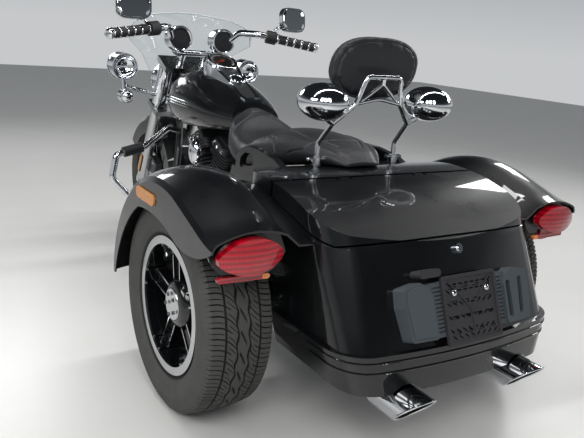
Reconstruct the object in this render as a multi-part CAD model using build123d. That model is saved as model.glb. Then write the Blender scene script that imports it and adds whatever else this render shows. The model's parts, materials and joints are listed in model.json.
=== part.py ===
from build123d import *
import os
from math import cos, radians, sin, sqrt

# Motorized trike: a touring motorcycle front end and V-twin with two car-type rear wheels,
# a luggage tub between them and bobtail fenders. Millimetres, +X forward, +Y left, +Z up.
# Everything is drawn with x measured forward from the rear axle and moved once at the end,
# so that the origin lies on the ground below the middle of the whole machine.

# Driving dimensions of the whole machine
wheelbase = 1670
rear_overhang = 681
front_tyre_radius = 320
rear_tyre_radius = 324
rear_wheel_y = 553
rake = 26

# Rear wheels: 205/65 R15 tyres on five-spoke cast rims
rear_tyre_width = 209
rear_tread_width = 176
rear_bead_radius = 190.5
rear_rim_between_flanges = 160

# Front wheel: a 130 mm motorcycle tyre on a 16-inch rim
front_tyre_width = 130
front_tread_width = 104
front_bead_radius = 203.2
front_rim_between_flanges = 76

# Parts that all wheels share
flange_height = 17
flange_thickness = 7
barrel_wall = 7
seat_gap = 0.3
running_fit = 0.05
hub_radius = 78
hub_cap_radius = 47
spoke_ridge = 3.5
spoke_channel = 12
first_spoke_turn = 207
axle_stub_radius = 25
front_spindle_radius = 12.5

# Fork and steering
fork_leg_y = 108
fork_slider_radius = 29
fork_tube_radius = 24.5
fork_cover_radius = 34
stem_setback = 50
stem_radius = 15
lower_clamp_height = 455
top_clamp_height = 700
clamp_thickness = 26
neck_gap = 16.5
cover_gap = 9.5

# Luggage tub and lid
tub_half_width = 396
tub_wall = 6
tub_skirt_half_width = 362
seam_gap = 5
lid_front_x = -155
tub_front_x = 60
tub_front_corner = 130
roof_radius = 818
roof_peak_x = -68
roof_peak_z = 725.5
roof_rear_x = -413
seat_base_front_x = 330
seat_base_half_width = 235

# Rear fenders
fender_clearance = 72
fender_radius = rear_tyre_radius + fender_clearance
fender_centre_x = -40
fender_centre_z = rear_tyre_radius - 4
fender_thickness = 5
fender_crease_y = 680
fender_side_y = 690
lamp_back_x = -354

# Number plate: the tray's two screws, above the middle of its slots
plate_thickness = 9
plate_screw_spacing = 124
plate_screw_radius = 3.3
plate_screw_raise = 45

# Mufflers
muffler_y = 214
muffler_z = 216
muffler_radius = 47
tip_radius = 52.5

# Frame tubes
backbone_radius = 34
frame_tube_radius = 16
cradle_y = 130
cradle_z = 150

# Engine: a 45 degree V-twin
crank_x = 940
crank_z = 345
cylinder_lean = 22.5

front_axle_x = wheelbase
ground_origin_x = (wheelbase + front_tyre_radius - rear_overhang) / 2


def mirrored(shape):
    """The shape with its twin on the other side of the machine."""
    return shape + mirror(shape, about=Plane.XZ)


def rod(start, end, radius):
    """A straight round bar from one point to another."""
    line = Line(start, end)
    return sweep(Plane(origin=line @ 0, z_dir=line % 0) * Circle(radius), path=line)


def bent_tube(points, radius, bend):
    """A round tube along straight runs joined by arcs of one bend radius."""
    path = FilletPolyline(*points, radius=bend)
    return sweep(Plane(origin=path @ 0, z_dir=path % 0) * Circle(radius), path=path)


def ball(point, radius):
    """A sphere at a point."""
    return Pos(*point) * Sphere(radius)


def block(x_range, y_range, z_range):
    """A box between two values on each axis."""
    size = [high - low for low, high in (x_range, y_range, z_range)]
    middle = [(high + low) / 2 for low, high in (x_range, y_range, z_range)]
    return Pos(*middle) * Box(*size)


def side_plate(points, y_low, y_high):
    """A straight-sided outline in the side view, as thick as the gap between two y values."""
    face = Plane.XZ * make_face(Polyline(*points, close=True))
    return Pos(0, y_high, 0) * extrude(face, amount=y_high - y_low)


def turned(points, axis=Axis.Y):
    """A closed outline of (along the axis, radius) points turned round the Y axis."""
    return revolve(Plane.YZ * make_face(Polyline(*points, close=True)), axis)


def fork_place(along, forward=0.0, y=0.0):
    """A place in the fork's own directions: up the legs, forward of them and sideways."""
    return Pos(front_axle_x, 0, front_tyre_radius) * Rot(0, -rake, 0) * Pos(forward, y, along)


def clamp_middle():
    """Half way between the two clamps: the neck, the fork covers and the lamps lie about it."""
    return (lower_clamp_height + top_clamp_height) / 2


def on_lamps(shape):
    """A shape drawn from the middle of the fork covers, moved to its place."""
    place = fork_place(clamp_middle()).position
    return Pos(place.X, 0, place.Z) * shape


def on_top_clamp(shape):
    """A shape drawn from the middle of the top clamp, moved to its place."""
    place = fork_place(top_clamp_height).position
    return Pos(place.X, 0, place.Z) * shape


def tyre(outer_radius, width, tread_width, bead_radius, between_flanges):
    """A tyre as a ring turned round Y, centred on the origin."""
    bead = between_flanges / 2 - seat_gap
    inner = bead_radius + seat_gap
    flange_top = bead_radius + flange_height + 1
    wall_middle = (flange_top + outer_radius) / 2 - 6
    edge_radius = outer_radius - tread_width * 0.045
    shoulder = tread_width / 2
    bulge = ThreePointArc((bead, flange_top), (width / 2, wall_middle), (shoulder, edge_radius))
    tread = ThreePointArc((shoulder, edge_radius), (0, outer_radius), (-shoulder, edge_radius))
    other_bulge = ThreePointArc((-shoulder, edge_radius), (-width / 2, wall_middle), (-bead, flange_top))
    beads = Polyline((-bead, flange_top), (-bead, inner), (bead, inner), (bead, flange_top))
    return revolve(Plane.YZ * make_face([bulge, tread, other_bulge, beads]), Axis.Y)


def rim(bead_radius, between_flanges, spoke_face, hub_face, hub_back, bore, bore_depth):
    """A five-spoke rim turned round Y, its outer side towards +Y: a deep barrel, a domed hub
    with a flat cap, and spokes as shallow channels whose thin edges run on along the barrel."""
    half = between_flanges / 2
    lip = half + flange_thickness
    top = bead_radius + flange_height
    floor = bead_radius - barrel_wall
    barrel = turned([(-lip, floor), (lip, floor), (lip, top), (half, top), (half, bead_radius),
                     (-half, bead_radius), (-half, top), (-lip, top)])
    cap_edge = (hub_face - 3, hub_cap_radius + 3)
    back_edge = (spoke_face - 30, hub_radius)
    dome = [Polyline((hub_back, hub_radius - 18), (hub_back, 0), (hub_face, 0), (hub_face, hub_cap_radius), cap_edge),
            ThreePointArc(cap_edge, (hub_face - 12, hub_radius - 9), back_edge),
            Line(back_edge, (hub_back, hub_radius - 18))]
    wheel = barrel + revolve(Plane.YZ * make_face(dome), Axis.Y)
    spoke_root, spoke_tip = 44, 52
    reach = floor + barrel_wall / 2
    for turn in range(5):
        outline = Polyline((0, -spoke_root / 2), (reach, -spoke_tip / 2), (reach, spoke_tip / 2),
                           (0, spoke_root / 2), close=True)
        spoke = Pos(0, spoke_face - 34, 0) * extrude(Plane.XZ * make_face(outline), amount=-34)
        inner_root = spoke_root / 2 - spoke_ridge
        inner_tip = spoke_tip / 2 - spoke_ridge
        hollow = Polyline((hub_radius - 14, -inner_root), (reach, -inner_tip), (reach, inner_tip),
                          (hub_radius - 14, inner_root), close=True)
        channel = Pos(0, spoke_face - spoke_channel, 0) * extrude(Plane.XZ * make_face(hollow), amount=-30)
        web = spoke - channel
        for side in (-1, 1):
            edge = side * (spoke_tip - spoke_ridge) / 2
            web += block((floor - 9, reach), (spoke_face - 30, lip - 2), (edge - spoke_ridge / 2, edge + spoke_ridge / 2))
        wheel += Rot(0, first_spoke_turn + turn * 72, 0) * web
    hole = Pos(0, hub_back + bore_depth / 2 - 1, 0) * Rot(90, 0, 0) * Cylinder(bore, bore_depth + 2)
    return wheel - hole


def brake_disc(inner_face, thickness, outer_radius, carrier_radius):
    """A brake disc round Y with its inner face at one y value."""
    return turned([(inner_face, carrier_radius), (inner_face + thickness, carrier_radius),
                   (inner_face + thickness, outer_radius), (inner_face, outer_radius)])


def make_rear_wheel():
    """Tyre and rim of the left rear wheel; the rim carries its brake disc inboard."""
    place = Pos(0, rear_wheel_y, rear_tyre_radius)
    rubber = tyre(rear_tyre_radius, rear_tyre_width, rear_tread_width, rear_bead_radius,
                  rear_rim_between_flanges)
    metal = rim(rear_bead_radius, rear_rim_between_flanges, 52, 70, -72,
                axle_stub_radius + running_fit, 92)
    metal += brake_disc(-60, 8, 142, 50)
    return place * rubber, place * metal


def make_front_wheel():
    """Front tyre and rim with a brake disc on each side."""
    place = Pos(front_axle_x, 0, front_tyre_radius)
    rubber = tyre(front_tyre_radius, front_tyre_width, front_tread_width, front_bead_radius,
                  front_rim_between_flanges)
    metal = rim(front_bead_radius, front_rim_between_flanges, 30, 56, -56,
                front_spindle_radius + running_fit, 112)
    for side in (-1, 1):
        disc = brake_disc(56 if side > 0 else -61, 5, 146, 40)
        metal += disc
    metal -= Rot(90, 0, 0) * Cylinder(front_spindle_radius + running_fit, 200)
    return place * rubber, place * metal


# Plan outlines of the tub at four heights: z, half width, rear centre x, rear bulge, corner radius
tub_sections = [
    (250, tub_skirt_half_width, -596, 34, 95),
    (362, tub_half_width, -590, 40, 100),
    (606, tub_half_width, -494, 66, 112),
    (760, tub_half_width, -430, 60, 100),
]


def roof_height(x):
    """Height of the tub's arched roof line at one x."""
    return roof_peak_z - roof_radius + sqrt(roof_radius ** 2 - (x - roof_peak_x) ** 2)


def plan_face(z, half_width, rear_x, bulge, corner, front_x, grow):
    """One horizontal outline of the tub with a bowed rear edge and rounded corners."""
    side = half_width + grow
    rear = rear_x - grow
    edge_x = rear + bulge
    edges = [Polyline((edge_x, -side), (front_x, -side), (front_x, side), (edge_x, side)),
             ThreePointArc((edge_x, side), (rear, 0), (edge_x, -side))]
    face = Pos(0, 0, z) * make_face(edges)
    rear_corners = [v for v in face.vertices() if v.X < edge_x + 1]
    return fillet(fillet(rear_corners, corner + grow).vertices().sort_by(Axis.X)[-2:],
                  tub_front_corner + grow)


def tub_form(grow, front_x):
    """The tub's outer body before its roof is cut, grown outwards by one distance."""
    levels = [plan_face(*row, front_x, grow) for row in tub_sections]
    body = loft(levels[:2], ruled=True)
    for low, high in zip(levels[1:], levels[2:]):
        body += loft([low, high], ruled=True)
    return body


def roof_form(drop):
    """What lies below the sloping roof line, over the whole width, lowered by one distance."""
    rear = (roof_rear_x, roof_height(roof_rear_x))
    middle = (roof_peak_x, roof_peak_z)
    front = (tub_front_x, roof_height(tub_front_x))
    rise = [Line((-640, rear[1] - 95), rear), ThreePointArc(rear, middle, front),
            Polyline(front, (seat_base_front_x + 30, 646), (seat_base_front_x + 30, 100),
                     (-640, 100), (-640, rear[1] - 95))]
    return Pos(0, 600, -drop) * extrude(Plane.XZ * make_face(rise), amount=1200)


def seam_form(raise_by):
    """What lies below the lid seam, which dips at the rear corners."""
    corner_x, corner_z = -424, 606
    front_rise = 0.25 * (lid_front_x - corner_x)
    points = [(-700, corner_z + 0.27 * (corner_x + 700)), (corner_x, corner_z),
              (lid_front_x + 40, corner_z + front_rise + 10), (lid_front_x + 40, 100), (-700, 100)]
    return Pos(0, 0, raise_by) * side_plate(points, -600, 600)


hinge_x = lid_front_x + 2
hinge_z = roof_height(hinge_x) - 7
hinge_y = 150
hinge_length = 40
pin_radius = 3


def make_seat_base():
    """The narrow front of the tub that carries the pillion seat."""
    top = roof_height(tub_front_x) - 6
    return side_plate([(tub_front_x - 60, 448), (seat_base_front_x, 448), (seat_base_front_x, 652),
                       (tub_front_x - 60, top)], -seat_base_half_width, seat_base_half_width)


def make_tub_and_lid():
    """The hollow luggage tub with its seat base, and the lid hinged along its front edge."""
    outer = tub_form(0, tub_front_x) & roof_form(0)
    hollow = tub_form(-tub_wall, -2) & roof_form(tub_wall)
    well = hollow & block((-640, lid_front_x + 14), (-500, 500), (456, 800))
    rear_well = hollow & block((-640, -196), (-330, 330), (306, 500))
    hollow_space = well + rear_well

    front_cut = block((lid_front_x, 600), (-600, 600), (100, 900))
    lid_shell = outer - hollow_space - front_cut - seam_form(seam_gap)
    below_seam = outer - hollow_space
    lid_space = outer - seam_form(0) - block((lid_front_x + 14, 600), (-600, 600), (100, 900))
    tub = below_seam - lid_space
    underbody = side_plate([(-190, 0), (-190, 448), (400, 448), (400, 0)], -600, 600)
    tub -= underbody + make_muffler_room()
    tub += make_seat_base()

    fixed_side = Plane.XZ * make_face(Polyline((hinge_x - 6, hinge_z - 7), (hinge_x + 20, hinge_z - 30),
                                               (hinge_x + 20, hinge_z + 3), (hinge_x - 3, hinge_z + 5),
                                               close=True))
    for side in (-1, 1):
        middle = side * hinge_y
        knuckle = Pos(hinge_x, middle, hinge_z) * Rot(90, 0, 0) * Cylinder(7, hinge_length)
        room = Pos(hinge_x, middle, hinge_z) * Rot(90, 0, 0) * Cylinder(12, hinge_length + 1)
        bore = Pos(hinge_x, middle, hinge_z) * Rot(90, 0, 0) * Cylinder(pin_radius + running_fit, 80)
        leaf = block((hinge_x - 40, hinge_x), (middle - 20, middle + 20), (hinge_z - 7, hinge_z + 2))
        lid_shell = lid_shell + knuckle + leaf - bore
        tub -= room
        pin = Pos(hinge_x, middle, hinge_z) * Rot(90, 0, 0) * Cylinder(pin_radius, hinge_length + 14)
        tub += pin
        for end in (-1, 1):
            lug_y = middle + end * (hinge_length / 2 + 4.5)
            lug = Pos(0, lug_y + 3.5, 0) * extrude(fixed_side, amount=7)
            tub += lug & roof_form(0)
            lid_shell -= block((hinge_x - 14, hinge_x + 20), (lug_y - 6, lug_y + 6), (640, 760))
    return tub, lid_shell, outer


def make_fender():
    """The left fender: one thin section carried along its crease line, with the arch cut out."""
    bottom = fender_side_y
    wall = fender_thickness
    outer = [Line((bottom, -150), (bottom - 1, -16)), Line((bottom - 1, -16), (fender_crease_y, 0)),
             ThreePointArc((fender_crease_y, 0), (590, 26), (482, 12)),
             Line((482, 12), (442, -22)), Line((442, -22), (tub_half_width + 0.3, -24))]
    inner = [Line((tub_half_width + 0.3, -24), (tub_half_width + 0.3, -24 - wall)),
             Line((tub_half_width + 0.3, -24 - wall), (444, -22 - wall)),
             Line((444, -22 - wall), (484, 12 - wall - 1)),
             ThreePointArc((484, 12 - wall - 1), (590, 26 - wall), (fender_crease_y - 3, -wall)),
             Line((fender_crease_y - 3, -wall), (bottom - 1 - wall, -18)),
             Line((bottom - 1 - wall, -18), (bottom - wall, -150)),
             Line((bottom - wall, -150), (bottom, -150))]
    start = Plane(origin=(fender_centre_x + fender_radius, 0, fender_centre_z),
                  x_dir=(0, 1, 0), z_dir=(0, 0, -1))
    section = start * make_face(outer + inner)
    turn = 108.7
    arc_axis = Axis((fender_centre_x, 0, fender_centre_z), (0, -1, 0))
    shell = revolve(section, arc_axis, turn)
    end_face = section.rotate(arc_axis, turn)
    slope = (-sin(radians(turn)), 0, cos(radians(turn)))
    straight = 150
    shell += extrude(end_face, amount=straight, dir=slope)
    tail_face = Pos(*[straight * part for part in slope]) * end_face
    tail_centre = (fender_centre_x + 700 * cos(radians(turn)) + straight * slope[0], 0,
                   fender_centre_z + 700 * sin(radians(turn)) + straight * slope[2])
    shell += revolve(tail_face, Axis(tail_centre, (0, 1, 0)), 14)

    arch = [ThreePointArc((330, -24), (252, 156), (119, 276)), ThreePointArc((119, 276), (0, 284), (-156, 250)),
            ThreePointArc((-156, 250), (-262, 243), (-420, 316)),
            Polyline((-420, 316), (-600, 276), (-600, -224), (330, -224), (330, -24))]
    cutter = Pos(0, 760, rear_tyre_radius) * extrude(Plane.XZ * make_face(arch), amount=120)
    shell -= cutter
    return shell + make_lamp_panel()


def lamp_outline(margin):
    """The tail lamp's rounded leaf in the rear view, drawn from the axle's height."""
    outer, inner = (680 + margin, 262), (486 - margin, 272)
    top = ThreePointArc(outer, (596, 319 + margin), inner)
    foot = ThreePointArc(inner, (580, 228 - margin), outer)
    return fillet(make_face([top, foot]).vertices(), 20 + margin)


strip_leg_y = (550, 610)


def make_tail_lamp():
    """The left tail lamp: a domed leaf-shaped lens with a reflector strip below it."""
    dome_radius = 250
    dome = Pos(lamp_back_x - 50 + dome_radius, 580, 268) * Sphere(dome_radius)
    lens = Pos(lamp_back_x - 60, 0, 0) * extrude(Plane.YZ * lamp_outline(0), amount=60) & dome
    strip_face = Pos(588, 208) * Rot(0, 0, 1) * SlotOverall(148, 14)
    strip = Pos(lamp_back_x - 10, 0, 0) * extrude(Plane.YZ * strip_face, amount=10)
    strip += block((lamp_back_x - 7, lamp_back_x), strip_leg_y, (208, 236))
    return Pos(0, 0, rear_tyre_radius) * (lens + strip)


def make_lamp_panel():
    """The panel that closes the fender's tail and carries the lamp inside a raised bezel."""
    top = ThreePointArc((686, 288), (590, 329), (486, 312))
    foot = ThreePointArc((466, 264), (585, 194), (680, 258))
    outline = [top, Line((486, 312), (466, 264)), foot, Polyline((680, 258), (687, 276), (686, 288))]
    panel = Pos(lamp_back_x + seat_gap, 0, 0) * extrude(Plane.YZ * make_face(outline), amount=5)
    bezel = lamp_outline(4) - lamp_outline(seat_gap)
    ring = Pos(lamp_back_x + seat_gap - 12, 0, 0) * extrude(Plane.YZ * bezel, amount=14)
    low, high = strip_leg_y
    leg_room = block((lamp_back_x - 20, lamp_back_x), (low - seat_gap, high + seat_gap), (200, 240))
    return Pos(0, 0, rear_tyre_radius) * (panel + ring - leg_room)


def make_side_marker(fender):
    """The amber marker on the outside of the fender."""
    lens = Pos(54, fender_side_y + 4, rear_tyre_radius + 324) * extrude(Plane.XZ * SlotOverall(142, 34), amount=9)
    return lens - fender


def make_trunk_lock(outer):
    """The round lock of the lid on the tub's rear face."""
    place = Plane(origin=(-500, 0, 592), x_dir=(0, 1, 0), z_dir=(-0.93, 0, 0.366))
    lock = place * Cylinder(14, 16)
    lock += place * Pos(0, 0, 9) * Cylinder(8, 6)
    return lock - outer


def make_plate_parts(outer):
    """The louvred plate housing with its two wings on the tub's rear face, and the bare slotted
    plate tray on it. The left wing is a closed pad, the right one a handle with a deep slot."""
    lean = Plane(origin=(-575, 0, 457), x_dir=(0, 1, 0), z_dir=(-0.927, 0, 0.375))
    housing = extrude(lean * RectangleRounded(300, 144, 10), amount=-60)
    for row in range(12):
        housing -= extrude(lean * (Pos(0, -58 + row * 10.5) * Rectangle(262, 4)), amount=-5)
    wing_outline = Polyline((134, -40), (150, -66), (178, -80), (232, -70), (236, -20), (224, 70),
                            (132, 74), close=True)
    wing = fillet(make_face(wing_outline).vertices(), 9)
    pad = offset(wing, -9)
    left = extrude(lean * wing, amount=-60) + extrude(lean * wing, amount=7) + extrude(lean * pad, amount=10)
    right = mirror(extrude(lean * wing, amount=-60) + extrude(lean * wing, amount=9), about=Plane.XZ)
    right -= extrude(lean * (Pos(-150, 6) * SlotOverall(104, 18, rotation=90)), amount=60, both=True)
    right -= extrude(lean * (Pos(-196, 0) * SlotOverall(104, 16, rotation=86)), amount=20, both=True)
    housing = housing + left + right - outer
    lamp = extrude(lean * (Pos(136, -98) * SlotOverall(76, 22)), amount=-60)
    lamp += extrude(lean * (Pos(136, -98) * SlotOverall(76, 22)), amount=8)
    tray_plane = lean * Pos(0, 8, seat_gap)
    tray_outline = RectangleRounded(205, 185, 8)
    tray = extrude(tray_plane * tray_outline, amount=plate_thickness)
    tray -= tray_plane * Pos(0, 0, plate_thickness) * extrude(offset(tray_outline, -9), amount=-3)
    slots = Sketch()
    for row in range(4):
        for column in range(4):
            slots += Pos(-66 + column * 44, -60 + row * 40) * SlotOverall(30, 9)
    tray -= extrude(tray_plane * slots, amount=20)
    for side in (-1, 1):
        screw = tray_plane * Pos(side * plate_screw_spacing / 2, -plate_screw_raise)
        boss = screw * Pos(0, 0, plate_thickness - 2) * Cylinder(9, 4)
        tray += boss
        tray -= screw * Cylinder(plate_screw_radius, 40)
        housing -= screw * Cylinder(plate_screw_radius + 1.2, 50)
    return housing, tray + (lamp - outer - housing)


def body_section(x, low, half_low, middle, half_middle, shoulder, half_shoulder, top):
    """One cross-section of a body that is symmetrical about the middle plane: a flat bottom,
    bulging sides and a domed top."""
    base = Line((-half_low, low), (half_low, low))
    left = ThreePointArc((half_low, low), (half_middle, middle), (half_shoulder, shoulder))
    dome = ThreePointArc((half_shoulder, shoulder), (0, top), (-half_shoulder, shoulder))
    right = ThreePointArc((-half_shoulder, shoulder), (-half_middle, middle), (-half_low, low))
    return Plane.YZ.offset(x) * make_face([base, left, dome, right])


# Tank cross-sections: x, bottom z, bottom half width, middle z, middle half width,
# shoulder z, shoulder half width, top z
tank_sections = [
    (606, 742, 58, 766, 76, 790, 62, 806),
    (720, 728, 104, 774, 136, 824, 112, 856),
    (880, 714, 142, 790, 182, 868, 140, 908),
    (1050, 706, 150, 806, 192, 898, 150, 944),
    (1160, 716, 136, 814, 176, 898, 134, 936),
    (1222, 760, 84, 822, 116, 876, 86, 900),
]

# Seat cross-sections with the same columns
seat_sections = [
    (-62, 722, 62, 732, 76, 742, 60, 746),
    (0, 720, 100, 746, 122, 768, 80, 776),
    (80, 717, 124, 752, 150, 782, 104, 796),
    (220, 686, 160, 738, 186, 784, 120, 806),
    (350, 652, 175, 712, 200, 762, 130, 790),
    (440, 636, 176, 680, 196, 722, 140, 742),
    (540, 632, 150, 690, 182, 742, 140, 752),
    (610, 650, 110, 712, 160, 780, 100, 808),
    (690, 752, 60, 784, 100, 816, 62, 836),
]


def seat_line(shift):
    """The slanted line in the side view where the seat's nose meets the tank: foot and top."""
    return (572 + shift, 600), (718 + shift, 900)


def make_tank():
    """The fuel tank, with the tunnel that straddles the backbone."""
    form = loft([body_section(*row) for row in tank_sections])
    foot, top = seat_line(seat_gap)
    form -= side_plate([foot, top, (400, 900), (400, 600)], -300, 300)
    tunnel = block((500, 1300), (-46, 46), (600, 812))
    return form, form - tunnel


def make_seat(tub_outer, seat_base, frame):
    """The stepped seat with its nose against the tank's rear face."""
    form = loft([body_section(*row) for row in seat_sections])
    foot, top = seat_line(0)
    ahead = side_plate([foot, top, (900, 900), (900, 600)], -300, 300)
    return form - tub_outer - seat_base - frame - ahead


def make_console():
    """The instrument console along the tank's top: two side rails that widen to the dial and the
    filler's round cap, with a thin dark insert sunk between them, rounded at its rear end."""
    top = [(640, 840), (722, 862), (780, 888), (854, 920), (925, 952), (1000, 980), (1085, 974)]
    side_view = side_plate([(640, 760)] + top + [(1085, 860)], -90, 90)
    left = [Line((640, 30), (722, 44)), ThreePointArc((722, 44), (850, 46), (960, 66)),
            ThreePointArc((960, 66), (1040, 70), (1085, 40))]
    right = [edge.mirror(Plane.XZ) for edge in left]
    ends = [Line((640, -30), (640, 30)), Line((1085, 40), (1085, -40))]
    body = side_view & Pos(0, 0, 740) * extrude(make_face(left + right + ends), amount=300)
    insert_plan = make_face([Line((746, 31), (960, 42)), Line((960, 42), (960, -42)), Line((960, -42), (746, -31)),
                             ThreePointArc((746, -31), (716, 0), (746, 31))])
    pocket = Pos(0, 0, 740) * extrude(insert_plan, amount=300) - Pos(0, 0, -5) * side_view
    cap_place = Pos(852, 0, 912) * Rot(0, -24, 0)
    cap = cap_place * (Cylinder(33, 26) + Pos(0, 0, 15) * Cone(31, 24, 4))
    dial_place = Pos(1001, 0, 965) * Rot(0, -24, 0)
    dial = dial_place * (Cylinder(68, 56) - Pos(0, 0, 27) * Cylinder(61, 6))
    foot, crown = seat_line(seat_gap)
    behind = side_plate([foot, crown, (400, 900), (400, 600)], -300, 300)
    insert = (pocket & Pos(0, 0, -2) * side_view) - cap - dial
    return body - pocket + cap + dial - behind, insert - behind


def make_engine():
    """Crankcase and gearbox as one heavy block."""
    case = Pos(crank_x, 0, crank_z) * Rot(90, 0, 0) * Cylinder(132, 210)
    deck = side_plate([(crank_x - 130, crank_z), (crank_x + 130, crank_z), (crank_x + 105, crank_z + 130),
                       (crank_x, crank_z + 165), (crank_x - 105, crank_z + 130)], -92, 92)
    gearbox = block((575, 830), (-118, 118), (212, 442))
    gearbox += block((600, crank_x), (-110, 110), (178, 260))
    mounts = block((620, 664), (-cradle_y, cradle_y), (cradle_z, 200))
    mounts += block((1010, 1050), (-cradle_y, cradle_y), (cradle_z, 300))
    return case + deck + gearbox + mounts


def cylinder_place(lean):
    """From the crank up along one cylinder: positive lean tips it forward."""
    return Pos(crank_x, 0, crank_z) * Rot(0, lean, 0)


def make_cylinders(engine):
    """Two finned barrels with heads and rocker boxes."""
    pair = Part()
    for lean in (-cylinder_lean, cylinder_lean):
        barrel = Cylinder(58, 130)
        stack = Pos(0, 0, 195) * barrel
        for fin in range(6):
            stack += Pos(0, 0, 158 + fin * 16.5) * extrude(RectangleRounded(126, 160, 36), amount=6)
        stack += Pos(0, 0, 258) * extrude(RectangleRounded(150, 160, 30), amount=44)
        for fin in range(3):
            stack += Pos(0, 0, 264 + fin * 14) * extrude(RectangleRounded(162, 176, 36), amount=5)
        stack += Pos(0, 0, 302) * extrude(RectangleRounded(118, 176, 24), amount=34)
        stack += Pos(0, 0, 336) * extrude(RectangleRounded(96, 140, 22), amount=14)
        pair += cylinder_place(lean) * stack
    return pair - engine


def make_engine_covers(engine, cylinders):
    """Primary cover on the left, cam cover with pushrod tubes on the right, and air cleaner."""
    front = Plane.XZ * (Pos(crank_x, crank_z) * Circle(118))
    rear = Plane.XZ * (Pos(640, crank_z + 8) * Circle(120))
    web = Plane.XZ * make_face(Polyline((crank_x, crank_z + 112), (640, crank_z + 122), (640, crank_z - 106),
                                        (crank_x, crank_z - 112), close=True))
    outline = front + rear + web
    primary = Pos(0, 200, 0) * extrude(outline, amount=72)
    primary += Pos(crank_x, 206, crank_z) * Rot(90, 0, 0) * Cylinder(84, 14)
    primary += Pos(640, 208, crank_z + 8) * Rot(90, 0, 0) * Cylinder(80, 18)
    cam = Pos(crank_x, -122, crank_z + 6) * Rot(90, 0, 0) * Cylinder(104, 50)
    cam += Pos(crank_x - 4, -150, crank_z + 6) * Rot(90, 0, 0) * Cylinder(62, 14)
    for lean in (-cylinder_lean, cylinder_lean):
        for shift in (-16, 16):
            tube_bar = rod((shift, -104, 96), (shift * 1.6, -96, 262), 8)
            cam += cylinder_place(lean * 0.92) * tube_bar
    cleaner = Pos(crank_x, -172, 590) * Rot(90, 0, 0) * Cylinder(98, 62)
    cleaner += Pos(crank_x, -206, 590) * Rot(90, 0, 0) * Cylinder(70, 10)
    intake = block((crank_x - 26, crank_x + 26), (-150, 40), (566, 618))
    horn = Pos(crank_x, 138, 596) * scale(Sphere(50), by=(0.85, 0.5, 1.15))
    horn += rod((crank_x, 36, 596), (crank_x, 130, 596), 14)
    covers = primary + cam + cleaner + intake + horn
    return covers - engine - cylinders


def make_exhaust(cylinders, engine, covers):
    """Header pipes on the right of the engine, with a crossover to the left muffler."""
    bore = 21
    low = 196
    front = bent_tube([(1080, -60, 600), (1140, -120, 590), (1130, -168, 480), (1080, -172, 230),
                       (980, -172, low), (430, -172, low), (300, -muffler_y, muffler_z),
                       (60 + seat_gap, -muffler_y, muffler_z)], bore, 40)
    rear = bent_tube([(790, -60, 590), (740, -130, 580), (735, -172, 470), (700, -172, low)], bore - 1.5, 34)
    crossover = bent_tube([(470, -172, low), (380, 0, low), (330, 170, low), (240, muffler_y, muffler_z),
                           (60 + seat_gap, muffler_y, muffler_z)], bore - 2.5, 60)
    return front + rear + crossover - cylinders - engine - covers


def make_muffler_room():
    """The space round both mufflers that the tub and the valance leave free."""
    return mirrored(rod((100, muffler_y, muffler_z), (-800, muffler_y, muffler_z), tip_radius + 6))


def make_mufflers():
    """Two long mufflers under the tub with large chrome tips cut on a slant."""
    body = rod((-20, muffler_y, muffler_z), (-505, muffler_y, muffler_z), muffler_radius)
    body += Pos(20, muffler_y, muffler_z) * Rot(0, 90, 0) * Cone(muffler_radius, 24, 80)
    tip = rod((-500, muffler_y, muffler_z), (-720, muffler_y, muffler_z), tip_radius)
    tip -= rod((-560, muffler_y, muffler_z), (-730, muffler_y, muffler_z), tip_radius - 3.5)
    slash = side_plate([(-681, muffler_z + tip_radius), (-581, muffler_z - tip_radius), (-700, 100),
                        (-900, 100), (-900, 400), (-700, 400)], 0, 400)
    hanger_top = muffler_z + tip_radius + 6 - 0.8
    hanger = block((-430, -400), (muffler_y - 6, muffler_y + 6), (muffler_z + 40, hanger_top))
    return mirrored(body + (tip - slash) + hanger)


def make_frame():
    """Steering neck, backbone, twin downtubes, cradle and seat rails."""
    neck_length = top_clamp_height - lower_clamp_height - clamp_thickness - 2 * neck_gap
    neck = fork_place(clamp_middle(), -stem_setback) * Cylinder(34, neck_length)
    neck_point = fork_place(clamp_middle(), -stem_setback).position
    spine = bent_tube([(neck_point.X - 10, 0, neck_point.Z - 6), (1190, 0, 765), (700, 0, 742),
                       (600, 0, 610), (430, 0, 560), (seat_base_front_x + 0.3, 0, 560)], backbone_radius, 60)
    lower_neck = fork_place(lower_clamp_height + 50, -stem_setback - 20).position
    down = bent_tube([(lower_neck.X, 20, lower_neck.Z), (1235, 88, 560), (1190, cradle_y, 330),
                      (1170, cradle_y, cradle_z), (540, cradle_y, cradle_z), (500, cradle_y, 330),
                      (540, 60, 590)], frame_tube_radius, 50)
    cross = rod((500, -cradle_y, 330), (500, cradle_y, 330), 24)
    cross += rod((1180, -cradle_y, 240), (1180, cradle_y, 240), 13)
    bore = fork_place(clamp_middle(), -stem_setback) * Cylinder(stem_radius + running_fit, 500)
    return neck + spine + mirrored(down) + cross - bore


def make_rear_axle():
    """Rigid axle with differential, wheel stubs and the swingarm that locates it."""
    tube = rod((0, -470, rear_tyre_radius), (0, 470, rear_tyre_radius), 38)
    case = ball((0, 0, rear_tyre_radius), 112)
    stub_end = rear_wheel_y + 14
    stub = rod((0, 460, rear_tyre_radius), (0, stub_end, rear_tyre_radius), axle_stub_radius)
    arm = bent_tube([(0, 250, rear_tyre_radius), (250, 190, rear_tyre_radius), (452, 150, 330)], 24, 80)
    pivot = rod((451.7, 128, 330), (451.7, 172, 330), 24)
    return tube + case + mirrored(stub + arm + pivot)


def make_shocks():
    """Two short coil-over shocks between the axle tube and the tub's floor."""
    low = rear_tyre_radius + 38 + seat_gap
    high = 448 - seat_gap
    shock = rod((0, 300, low), (0, 300, high), 24)
    for turn in range(4):
        shock += Pos(0, 300, low + 14 + turn * 18) * Cylinder(32, 8)
    return mirrored(shock)


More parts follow.
